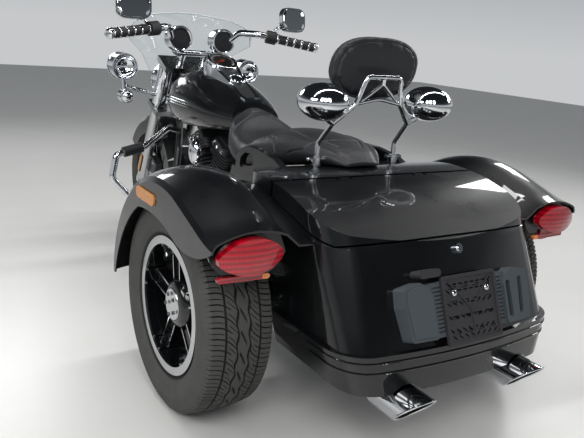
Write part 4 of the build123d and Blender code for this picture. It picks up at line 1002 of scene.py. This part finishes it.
head_parts = lamp_face((1604.9, 0, 846.05), 92, 12)
pass_parts = lamp_face((1406.9, 322, 923.05), 60, 9)
lamp_parts = [joined(head, both_sides(passing)) for head, passing in zip(head_parts, pass_parts)]
bezels, bowls, shields, glasses = lamp_parts
piece("lamp_bezels", bezels, "steering", chromium)
piece("lamp_bowls", joined(bowls, shields), "steering", mirror_glass)
piece("lamp_glasses", glasses, "steering", lamp_glass)

signal_profile = [(0, 0), (0, 28.5), (5, 28), (10, 24), (13.5, 14), (15, 0)]
signal_lens = turned(signal_profile, at((1369.7, 317, 790.05)), (1, 0, 0), 36)
piece("signal_lenses", both_sides(signal_lens), "steering", amber_acrylic)

fork_up = np.array((-0.4384, 0, 0.8988))
fork_forward = np.array((0.8988, 0, 0.4384))
fork_reflector = plate((1626, 136.4, 410), fork_up, fork_forward, 52, 13, 11, 4.5, 1.2, 1.0)
fork_backing = plate((1626, 134.9, 410), fork_up, fork_forward, 55, 15.5, 13, 3.2, 0.8)
piece("fork_reflectors", both_sides(fork_reflector), "steering", amber_acrylic)
piece("fork_reflector_backs", both_sides(fork_backing), "steering", black_abs)

# %% [markdown]
# The mirrors are glass silvered on its back and framed by the chrome shell. The bar speakers have
# a rolled ring and a punched steel grille with holes a few millimetres apart. In a pattern, holes
# on a square lattice are cells without any randomness, with their middles painted near black as the
# shade inside the holes.

# %% Mirror glass and speaker grilles
mirror_way = np.array((0.18, 0.98, 0))
mirror_way /= np.linalg.norm(mirror_way)
mirror_out = np.array((0.97, -0.18, -0.12))
mirror_out /= np.linalg.norm(mirror_out)
mirror_up = np.cross(mirror_out, mirror_way)
glass_place = np.array((1043.1, 388, 1190.2)) - mirror_out * 0.2
mirror_pane = plate(glass_place, mirror_up, mirror_way, 47, 65, 33, 1.6, 0.8)
piece("mirror_panes", both_sides(mirror_pane), "steering", mirror_glass)

speaker_grille, tree, shader = start_finish("punched_black_steel", "#1d1e20", 0.4, 0.6)
place = add(tree, "TexCoord")
holes = add(tree, "TexVoronoi", {"Scale": 1 / (4.2 * MM), "Randomness": 0.0},
            {"Vector": place.outputs["Object"]})
solid = add(tree, "MapRange", {"From Min": 0.26, "From Max": 0.36}, {"Value": holes})
# Painted shade: the middles of the holes are coloured near black.
grille_with_painted_hole_shade = add(tree, "Mix", {"data_type": "RGBA", 6: linear("#050506"), 7: linear("#2c2d30")}, {0: solid})
feed(shader, {"Base Color": grille_with_painted_hole_shade})
punch = add(tree, "Bump", {"Strength": 0.8, "Distance": 0.8 * MM}, {"Height": solid})
feed(shader, {"Normal": punch})

pod_face = at((1211.1, 109, 1066.2))
dome_profile = [(-0.5, 0), (-0.5, 47.5), (1.5, 47.5), (4, 32), (5.5, 14), (6, 0)]
ring_profile = [(-3, 55.4), (-3, 57.6), (3, 58.2), (6, 55), (6.5, 50), (4, 47.2), (-0.4, 47.2), (-3, 55.4)]
grille_dome = turned(dome_profile, pod_face, (-1, 0, 0), 48)
grille_ring = turned(ring_profile, pod_face, (-1, 0, 0), 56)
piece("speaker_grilles", both_sides(grille_dome), "steering", speaker_grille)
piece("speaker_rings", both_sides(grille_ring), "steering", chromium)

# %% [markdown]
# The gauge sits in a shallow recess of the console. Its face is a dark disc with plain division
# marks and a pointer, under a low glass. The filler cap next to it has a fluted edge, made by
# letting its radius rise and fall as it goes round.

# %% Gauge and filler cap
gauge_up = np.array((-np.sin(np.radians(24)), 0, np.cos(np.radians(24))))
gauge_forward = np.array((gauge_up[2], 0, -gauge_up[0]))
gauge_floor = np.array((1001, 0, 965)) + gauge_up * 24.1
dial_black = plain_finish("printed_dial_black", "#0e0f11", 0.4, mottled=("#0c0d0f", "#15161a", 20))
dial_white = plain_finish("printed_dial_white", "#e9e8e2", 0.5, mottled=("#e2e1da", "#f0efe9", 8))
dial_orange = plain_finish("pointer_orange", "#e0531c", 0.4, mottled=("#d84c18", "#e85c22", 8))
face = turned([(0, 0), (0, 60.4), (1.2, 60.4), (1.2, 0)], at(gauge_floor), gauge_up, 64)
piece("gauge_face", face, "chassis", dial_black)


def gauge_mark(turn, inner, outer, half_width, out=1.2, thickness=0.3):
    """A bar on the gauge's face that points to its middle. Turn 0 is straight ahead."""
    angle = np.radians(turn)
    way = np.cos(angle) * gauge_forward + np.sin(angle) * np.array((0, 1, 0))
    side = np.cross(gauge_up, way)
    middle = gauge_floor + gauge_up * out + way * (inner + outer) / 2
    return plate(middle, way, side, (outer - inner) / 2, half_width, half_width * 0.6, thickness, 0.1)


marks = [gauge_mark(turn, 45 if index % 5 else 40, 53, 0.9 if index % 5 else 1.5)
         for index, turn in enumerate(np.linspace(130, -130, 41))]
piece("gauge_marks", joined(*marks), "chassis", dial_white)
pointer = joined(gauge_mark(118, -12, 46, 1.6, 2.2, 0.8),
                 turned([(1, 0), (1, 8), (3.4, 7), (3.8, 0)], at(gauge_floor), gauge_up, 24))
piece("gauge_pointer", pointer, "chassis", dial_orange)
glass_profile = [(3.9, 0), (3.9, 60.6), (5.2, 60.6), (6.4, 40), (7.2, 20), (7.5, 0)]
gauge_glass = turned(glass_profile, at(gauge_floor), gauge_up, 64)
piece("gauge_glass", gauge_glass, "chassis", lamp_glass)
bezel_profile = [(2.8, 60.8), (3.2, 68.3), (5.5, 68.6), (7.4, 65.5), (7.2, 61.6), (5.4, 60.7), (2.8, 60.8)]
gauge_bezel = turned(bezel_profile, at(gauge_floor), gauge_up, 72)
piece("gauge_bezel", gauge_bezel, "chassis", chromium)

cap_place = np.array((852, 0, 912)) + gauge_up * 17
turn = np.linspace(0, 2 * np.pi, 120, endpoint=False)
cap_rows = np.array([(-8, 33.2), (-8, 35.4), (-1.5, 35.6), (0.8, 33.5), (1.2, 30), (-1, 30), (-8, 33.2)])
flute = 0.7 * np.cos(24 * turn)[:, None] * (cap_rows[:, 1] > 35)
cap_radius = cap_rows[:, 1] + flute
cap_points = (cap_place + cap_rows[None, :, :1] * gauge_up
              + cap_radius[..., None] * (np.cos(turn)[:, None, None] * gauge_forward
                                         + np.sin(turn)[:, None, None] * np.array((0, 1.0, 0))))
piece("filler_cap_ring", grid(at(cap_points), close_rows=True), "chassis", chromium)

# %% [markdown]
# Screws hold the engine's covers round their rims: cap screws on the primary and cam covers, and
# acorn-like heads on the rocker boxes. A shape that repeats has few faces.

# %% Engine screws
crank_x, crank_z = 940, 345
clutch_x, clutch_z = 640, crank_z + 8
primary_face = 199.9
front_rim = round_places((crank_x, primary_face, crank_z), 107, 10, 0)
rear_rim = round_places((clutch_x, primary_face, clutch_z), 110, 10, 18)
primary_places = [*front_rim[front_rim[:, 0] > crank_x - 60], *rear_rim[rear_rim[:, 0] < clutch_x + 60]]
primary_places += [(x, primary_face, z) for x in (760, 850) for z in (crank_z + 104, crank_z - 98)]
primary_screws = [socket_head(place, (0, 1, 0), 6, 5) for place in primary_places]
derby_screws = [dome_head(place, (0, 1, 0), 5, 3)
                for centre, radius in (((crank_x, 212.8, crank_z), 74), ((clutch_x, 216.8, clutch_z), 70))
                for place in round_places(centre, radius, 6, 30)]
cam_screws = [socket_head(place, (0, -1, 0), 6, 5)
              for place in round_places((crank_x, -146.9, crank_z + 6), 92, 6, 0)]
timer_screws = [dome_head(place, (0, -1, 0), 5, 3)
                for place in round_places((crank_x - 4, -156.9, crank_z + 6), 51, 5, 18)]
cleaner_screw = [dome_head((crank_x, -210.8, 590), (0, -1, 0), 12, 6)]
piece("engine_screws", joined(*primary_screws, *derby_screws, *cam_screws, *timer_screws, *cleaner_screw),
      "chassis", chromium)

head_screws = []
for cylinder_lean in (-22.5, 22.5):
    up = np.array((np.sin(np.radians(cylinder_lean)), 0, np.cos(np.radians(cylinder_lean))))
    along = np.array((up[2], 0, -up[0]))
    for out in (-1, 1):
        for shift in (-40, 0, 40):
            foot = np.array((crank_x, 0, crank_z)) + up * 318 + along * shift + np.array((0, out * 87.9, 0))
            head_screws.append(hexagon_head(foot, (0, out, 0), 12, 7))
piece("rocker_box_screws", joined(*head_screws), "chassis", chromium)

# %% [markdown]
# Calipers are bolted to their brackets, and the guard and the backrest are clamped with cap
# screws. These sit where a spanner would reach them.

# %% Caliper and clamp screws
top_clamp = np.array((1416.84, 0, 839.05))
front_caliper = top_clamp - fork_up * 465.5 - fork_forward * 58 + np.array((0, 92.8, 0))
caliper_screws = [hexagon_head(front_caliper + fork_up * step, (0, 1, 0), 13, 7) for step in (-32, 32)]
piece("front_caliper_screws", both_sides(joined(*caliper_screws)), "steering", chromium)
rear_screws = [hexagon_head((-132, rear_y - 88.1, rear_z + step), (0, -1, 0), 13, 7) for step in (-32, 32)]
piece("rear_caliper_screws", both_sides(joined(*rear_screws)), "chassis", chromium)
clamp_screws = [socket_head((-15, 171.0, 745), (0, 1, 0), 6, 5),
                dome_head((-15, 189.8, 752), (0, 1, 0), 7, 4)]
piece("backrest_screws", both_sides(joined(*clamp_screws)), "chassis", chromium)

# %% [markdown]
# Some trim follows a curved panel, and it is easiest to ask the panel where it is. A ray that is
# cast at a CAD node's mesh gives the point where it lands, so a bead or a strip of trim can be
# laid on the surface, sunk a little into it.

# %% Points on a panel and closed loops
def panel_of(name):
    """A CAD node's surface, ready for rays."""
    mesh = nodes[name].data
    return BVHTree.FromPolygons([corner.co for corner in mesh.vertices],
                                [face.vertices for face in mesh.polygons])


def landings(panel, starts, ways):
    """Where rays from places in millimetres from the rear axle land on a panel, in metres."""
    found = []
    for start, way in zip(at(starts), np.broadcast_to(ways, np.shape(starts))):
        point = panel.ray_cast(Vector(start), Vector(way))[0]
        if point is not None:
            found.append(tuple(point))
    return np.array(found)


def loop_tube(path, radius, sides=10):
    """A round bead along a closed path in metres. Each ring lies square to the path, between the
    direction away from the path's middle and the loop's own normal."""
    path = np.array(path, float)
    tangent = np.roll(path, -1, axis=0) - np.roll(path, 1, axis=0)
    tangent /= np.linalg.norm(tangent, axis=1, keepdims=True)
    away = path - path.mean(axis=0)
    away -= np.sum(away * tangent, axis=1, keepdims=True) * tangent
    away /= np.linalg.norm(away, axis=1, keepdims=True)
    third = np.cross(tangent, away)
    angle = np.linspace(0, 2 * np.pi, sides, endpoint=False)[None, :, None]
    points = path[:, None] + radius * MM * (np.cos(angle) * away[:, None] + np.sin(angle) * third[:, None])
    return grid(points, close_rows=True, close_columns=True)


# %% [markdown]
# Two beads run round the rear valance, as pressed lines do on such a panel. They catch light that
# a plain panel would not.

# %% Valance beads
valance = panel_of("rear_bumper")
turns = np.radians(np.linspace(100, 260, 90))
outward = np.stack([np.cos(turns), np.sin(turns), 0 * turns], -1)
ray_start, proud = 900, 0.6
for number, height in enumerate((344, 316)):
    middle = np.array((-330.0, 0.0, height))
    line = landings(valance, middle + ray_start * outward, -outward)
    away = line - at(middle)
    line = line + away / np.linalg.norm(away, axis=1, keepdims=True) * proud * MM
    piece("valance_bead_%d" % number, tube(line, 3.2 * MM, 10), "chassis", black_enamel)

# %% [markdown]
# The exhaust tips are cut on a slant and end in a rolled lip, a bead round the ellipse that the
# cut leaves. Inside they are dull with soot, and the bore is painted near black as shade as well.

# %% Exhaust lips
tip_x, tip_y, tip_z, tip_radius, slant = -631, 214, 216, 50.8, 50 * 51 / 52.5
turn = np.linspace(0, 2 * np.pi, 72, endpoint=False)
lip_path = np.stack([tip_x - slant * np.sin(turn), tip_y + tip_radius * np.cos(turn),
                     tip_z + tip_radius * np.sin(turn)], -1)
piece("exhaust_lips", both_sides(loop_tube(at(lip_path), 3.0)), "chassis", chromium)
soot_and_shade_finish, tree, shader = start_finish("chromium_with_soot_inside", "#dfe2e6", 0.06, 1.0)
place = add(tree, "TexCoord")
parts = add(tree, "SeparateXYZ", None, {"Vector": place.outputs["Object"]})
sideways = add(tree, "Math", {"operation": "ABSOLUTE"}, {0: parts.outputs["Y"]})
folded = add(tree, "CombineXYZ", None, {"Y": sideways, "Z": parts.outputs["Z"]})
from_axis = add(tree, "VectorMath", {"operation": "DISTANCE", 1: (0, tip_y * MM, tip_z * MM)},
                {0: folded})
bore_radius, tip_start_x = 49.35, -556
bore = add(tree, "Math", {"operation": "LESS_THAN", 1: bore_radius * MM}, {0: from_axis})
behind = add(tree, "Math", {"operation": "LESS_THAN", 1: float(at((tip_start_x, 0, 0))[0])},
             {0: parts.outputs["X"]})
# Soot and painted shade: inside the bore, behind the tip, the chrome turns near black and dull.
soot_and_painted_shade = add(tree, "Math", {"operation": "MULTIPLY"}, {0: bore, 1: behind})
tip_colour = add(tree, "Mix", {"data_type": "RGBA", 6: linear("#dfe2e6"), 7: linear("#121110")},
                 {0: soot_and_painted_shade})
tip_rough = add(tree, "MapRange", {"To Min": 0.06, "To Max": 0.7}, {"Value": soot_and_painted_shade})
tip_metal = add(tree, "Math", {"operation": "SUBTRACT", 0: 1.0}, {1: soot_and_painted_shade})
feed(shader, {"Base Color": tip_colour, "Roughness": tip_rough, "Metallic": tip_metal})
finish_node(soot_and_shade_finish, "mufflers")

# %% [markdown]
# The grips are rubber sleeves between chrome bands with a chrome cap at the end, and the levers
# are chromed too. The CAD node holds grip, housing and lever in one, so its finish asks how far a
# point lies from the grip's axis: what is further out than the housing is the lever.

# %% Grip bands and levers
bar_end = np.array((1008.1, 489.0, 1072.2))
grip_way = np.array((-92.0, 259.0, -40.0)) / np.linalg.norm((92, 259, 40))
grip_start = bar_end - 190 * grip_way
bands = [turned([(-half, 20.8), (-half, 22.4), (-half + 1, 23), (half - 1, 23), (half, 22.4), (half, 20.8),
                 (-half, 20.8)], at(grip_start + grip_way * along), grip_way, 32)
         for along, half in ((8, 6), (52, 4), (88, 4), (124, 4), (160, 4), (192, 5))]
cap_profile = [(0, 0), (0, 22.5), (5, 22.5), (10, 19), (13, 11), (14, 0)]
end_cap = turned(cap_profile, at(bar_end + grip_way * 8), grip_way, 32)
piece("grip_bands", both_sides(joined(*bands, end_cap)), "steering", chromium)

controls_finish, tree, shader = start_finish("rubber_grip_and_chromed_lever", "#151617", 0.62)
place = add(tree, "TexCoord")
parts = add(tree, "SeparateXYZ", None, {"Vector": place.outputs["Object"]})
sideways = add(tree, "Math", {"operation": "ABSOLUTE"}, {0: parts.outputs["Y"]})
folded = add(tree, "CombineXYZ", None, {"X": parts.outputs["X"], "Y": sideways, "Z": parts.outputs["Z"]})
arm = add(tree, "VectorMath", {"operation": "SUBTRACT", 1: tuple(at(bar_end))}, {0: folded})
square = add(tree, "VectorMath", {"operation": "CROSS_PRODUCT", 1: tuple(grip_way)}, {0: arm})
away = add(tree, "VectorMath", {"operation": "LENGTH"}, {0: square})
housing_radius = 31.2
lever = add(tree, "Math", {"operation": "GREATER_THAN", 1: housing_radius * MM}, {0: away})
sleeve = noise_of_size(tree, 20)
rubber = add(tree, "Mix", {"data_type": "RGBA", 6: linear("#121314"), 7: linear("#1b1c1d")}, {0: sleeve})
control_colour = add(tree, "Mix", {"data_type": "RGBA", 7: linear("#dfe2e6")}, {0: lever, 6: rubber})
control_rough = add(tree, "MapRange", {"To Min": 0.6, "To Max": 0.07}, {"Value": lever})
feed(shader, {"Base Color": control_colour, "Roughness": control_rough, "Metallic": lever})
finish_node(controls_finish, "hand_controls")

# %% [markdown]
# The screen's sheet is 4.5 mm thick and its upper edge is rolled and polished. Its shine is a
# painted highlight: a pale tube along the edge. The line follows the CAD sheet: a point of its
# outline, sideways and up, is carried onto a cylinder of radius 620 mm that leans back 18 degrees.

# %% Painted highlight along the screen's edge
left_edge = [(311, 216), (299, 280), (220, 320.5), (120, 336), (0, 344)]
outline = smooth_path(left_edge + [(-y, z) for y, z in left_edge[-2::-1]], 90)
sheet_radius, cylinder_radius, foot_height = 617.8, 620, 171
turn = np.arcsin(outline[:, 0] / sheet_radius)
curved = sheet_radius * np.cos(turn) - cylinder_radius
lean_back = np.radians(18)
upward = (outline[:, 1] - foot_height - curved * np.sin(lean_back)) / np.cos(lean_back)
screen_x = 1423.84 + curved * np.cos(lean_back) - upward * np.sin(lean_back)
edge_line = np.stack([screen_x, outline[:, 0], top_clamp[2] + outline[:, 1]], -1)
# Painted highlight: the tube along the edge is coloured pale grey to stand for its shine.
edge_with_painted_highlight = plain_finish("polished_polycarbonate_edge", "#d4dadb", 0.12, 0.0,
                            {"Transmission Weight": 0.3, "IOR": 1.45}, mottled=("#ccd4d6", "#dde3e4", 30))
piece("screen_edge", tube(at(edge_line), 3.0 * MM, 10), "steering", edge_with_painted_highlight)

# %% [markdown]
# A plain streamlined trim lies along each side of the tank: three chrome bars that taper
# backwards, laid on the panel.

# %% Tank trim
tank_panel = panel_of("fuel_tank")
samples = 24
top_bar_z, spacing, fall, ray_start = 817, 10.5, 0.02, 320.0
bars = []
for row, (front, back) in enumerate(((1140, 926), (1146, 914), (1140, 926))):
    x = np.linspace(front, back, samples)
    height = top_bar_z - row * spacing - fall * (front - x)
    starts = np.stack([x, np.full(samples, ray_start), height], -1)
    line = landings(tank_panel, starts, (0.0, -1.0, 0.0))
    share = np.linspace(0, 1, len(line))
    rounded = np.sqrt(np.clip(1 - (2 * share - 1) ** 6, 0.02, 1))
    bars.append(tube(line, 3.2 * rounded * (1 - 0.35 * share) * MM, 10))
piece("tank_trim", both_sides(joined(*bars)), "chassis", chromium)

# %% [markdown]
# The plate tray is pierced by many small slots in three fields, divided by a raised Y. The larger
# slots are cut in CAD. The small ones are shown as dark pills a fifth of a millimetre high, which
# at this size read as holes.

# %% Small slots of the tray
slot_black = plain_finish("shadow_in_slots", "#030303", 0.9, 0.0, {"Specular IOR Level": 0.1},
                          mottled=("#020202", "#060606", 6))


def tray_pill(across, down, turn_degrees, half_length=8.0, half_width=2.0):
    """A flat pill on the tray's floor, turned within the tray's plane."""
    angle = np.radians(turn_degrees)
    u = np.cos(angle) * tray_left + np.sin(angle) * tray_down
    v = np.cross(tray_out, u)
    return plate(on_tray(across, down, 6.25), u, v, half_length, half_width, half_width * 0.95, 0.25, 0.1)


pills = []
for row in range(9):
    for column in range(8):
        across, down = -77 + column * 22 + (row % 2) * 6, -60 + row * 17.5
        clear_of_cuts = abs((down + 52) % 40 - 20) > 7.5
        if abs(across) < 84 and clear_of_cuts:
            between_arms = down < 4 and abs(across) < (20 - down) * 0.9
            side_turn = 38 if across < 0 else -38
            pills.append(tray_pill(across, down, 0 if between_arms else side_turn))
piece("plate_tray_slots", joined(*pills), "chassis", slot_black)
arms = []
for start, end in (((-78, -70), (0, 14)), ((78, -70), (0, 14)), ((0, 14), (0, 78))):
    span = np.subtract(end, start).astype(float)
    length = np.linalg.norm(span)
    middle = (np.array(start) + np.array(end)) / 2
    u = span[0] / length * tray_left + span[1] / length * tray_down
    arms.append(plate(on_tray(*middle, 6.2), u, np.cross(tray_out, u), length / 2, 2.0, 1.8, 2.6, 0.6))
eyelet_profile = [(0, 0), (0, 7), (3.2, 7), (3.6, 6), (3.6, 3.2), (1.5, 3), (1.5, 0)]
arms.append(turned(eyelet_profile, at(on_tray(0, 14, 6.2)), tray_out, 24))
piece("plate_tray_y", joined(*arms), "chassis", tray_abs)

# %% [markdown]
# The camera stands where the photographer stood: behind the machine, to its left, a little above
# the lid, and tipped down and rolled a few degrees. Yaw turns it from +X towards -Y, pitch tips
# it down, and roll turns it about its own axis.

# %% Camera
camera_place = at((-1703.9, 1346.4, 1117.8))
yaw, pitch, roll = np.radians((-33.449, -15.403, 4.679))
focal_pixels = 661.71
photo_width, photo_height = 584, 438
sensor_mm = 36.0

forward = np.array((np.cos(pitch) * np.cos(yaw), np.cos(pitch) * np.sin(yaw), np.sin(pitch)))
right = np.cross(forward, (0, 0, 1))
right /= np.linalg.norm(right)
up = np.cross(right, forward)
rolled_right = np.cos(roll) * right + np.sin(roll) * up
rolled_up = np.cos(roll) * up - np.sin(roll) * right

camera = bpy.data.objects.new("camera", bpy.data.cameras.new("camera"))
camera.data.sensor_width = sensor_mm
camera.data.lens = focal_pixels / photo_width * sensor_mm
camera.data.clip_start = 0.05
camera.matrix_world = Matrix.Translation(camera_place) @ Matrix(
    [(*row,) for row in np.stack([rolled_right, rolled_up, -forward], axis=1)]).to_4x4()
bpy.context.scene.collection.objects.link(camera)
bpy.context.scene.camera = camera

# %% [markdown]
# The room is plain: a pale floor that is slightly polished, a world that is pale at the horizon
# and dark towards the ceiling, and lamps. Polished black paint and chrome are mostly what they
# reflect, so the ceiling has four long light tubes whose reflections run along the machine. Panes
# like those of a shop window stand at its rear left and on its right side.

# %% Floor, world and soft boxes
floor_mesh = bpy.data.meshes.new("floor")
floor_half = 14.0
floor_mesh.from_pydata([(-floor_half, -floor_half, 0), (floor_half, -floor_half, 0),
                        (floor_half, floor_half, 0), (-floor_half, floor_half, 0)], [], [(0, 1, 2, 3)])
floor = bpy.data.objects.new("floor", floor_mesh)
bpy.context.scene.collection.objects.link(floor)
floor_finish = plain_finish("pale_polished_tile", "#c9c8c5", 0.32, mottled=("#c4c3c0", "#cfcecb", 400))
floor_mesh.materials.append(floor_finish)

world = bpy.data.worlds.new("studio")
bpy.context.scene.world = world
world.use_nodes = True
tree = world.node_tree
tree.nodes.clear()
rays = add(tree, "LightPath")
seen = add(tree, "Math", {"operation": "MAXIMUM"},
           {0: rays.outputs["Is Camera Ray"], 1: rays.outputs["Is Glossy Ray"]})
seen = add(tree, "Math", {"operation": "MAXIMUM"}, {0: seen, 1: rays.outputs["Is Transmission Ray"]})
direction = add(tree, "TexCoord")
height = add(tree, "SeparateXYZ", None, {"Vector": direction.outputs["Generated"]})
wall = add(tree, "ValToRGB", None, {"Fac": height.outputs["Z"]})
shades = ((0.0, "#c6c8ca"), (0.1, "#aeb1b4"), (0.18, "#585c60"), (0.38, "#212427"), (1.0, "#1b1d20"))
for place, _ in shades[1:-1]:
    wall.color_ramp.elements.new(place)
for stop, (place, shade) in zip(wall.color_ramp.elements, shades):
    stop.color = linear(shade)
shown = add(tree, "Background", {"Strength": 1.0}, {"Color": wall})
lighting = add(tree, "Background", {"Color": linear("#e9eef2"), "Strength": 0.45})
mixed = add(tree, "MixShader", None, {0: seen, 1: lighting, 2: shown})
add(tree, "OutputWorld", None, {"Surface": mixed})


def soft_box(name, place, target, width, height, watts):
    """A rectangular lamp aimed from one place at another."""
    lamp = bpy.data.objects.new(name, bpy.data.lights.new(name, "AREA"))
    lamp.data.shape = "RECTANGLE"
    lamp.data.size = width
    lamp.data.size_y = height
    lamp.data.energy = watts
    direction = Vector(target) - Vector(place)
    lamp.matrix_world = Matrix.Translation(place) @ direction.to_track_quat("-Z", "Y").to_matrix().to_4x4()
    bpy.context.scene.collection.objects.link(lamp)


for column in range(3):
    for row in range(2):
        pane = (-3.5 + 0.5 * column, 1.2 + 0.9 * column, 2.3 + 0.95 * row)
        soft_box("window_pane_%d_%d" % (column, row), pane, (-0.6, 0.2, 0.5), 0.55, 0.75, 14)
soft_box("side_box", (-0.6, 4.0, 2.4), (-0.2, 0, 0.4), 1.8, 0.9, 38)
for column in range(3):
    far_pane = (-1.4 + 1.3 * column, -4.0, 2.6)
    soft_box("far_pane_%d" % column, far_pane, (-0.2, 0, 0.6), 0.7, 1.0, 22)
soft_box("front_box", (4.2, 0.6, 2.6), (0.6, 0, 0.6), 1.6, 1.0, 36)
for number, side in enumerate((-1.35, -0.45, 0.45, 1.35)):
    soft_box("ceiling_tube_%d" % number, (-0.2, side, 3.7), (-0.2, side, 0), 0.14, 4.4, 26)

# %% [markdown]
# Last comes the view transform that shows colours as they are written.

# %% View transform
scene = bpy.context.scene
scene.view_settings.view_transform = "Standard"
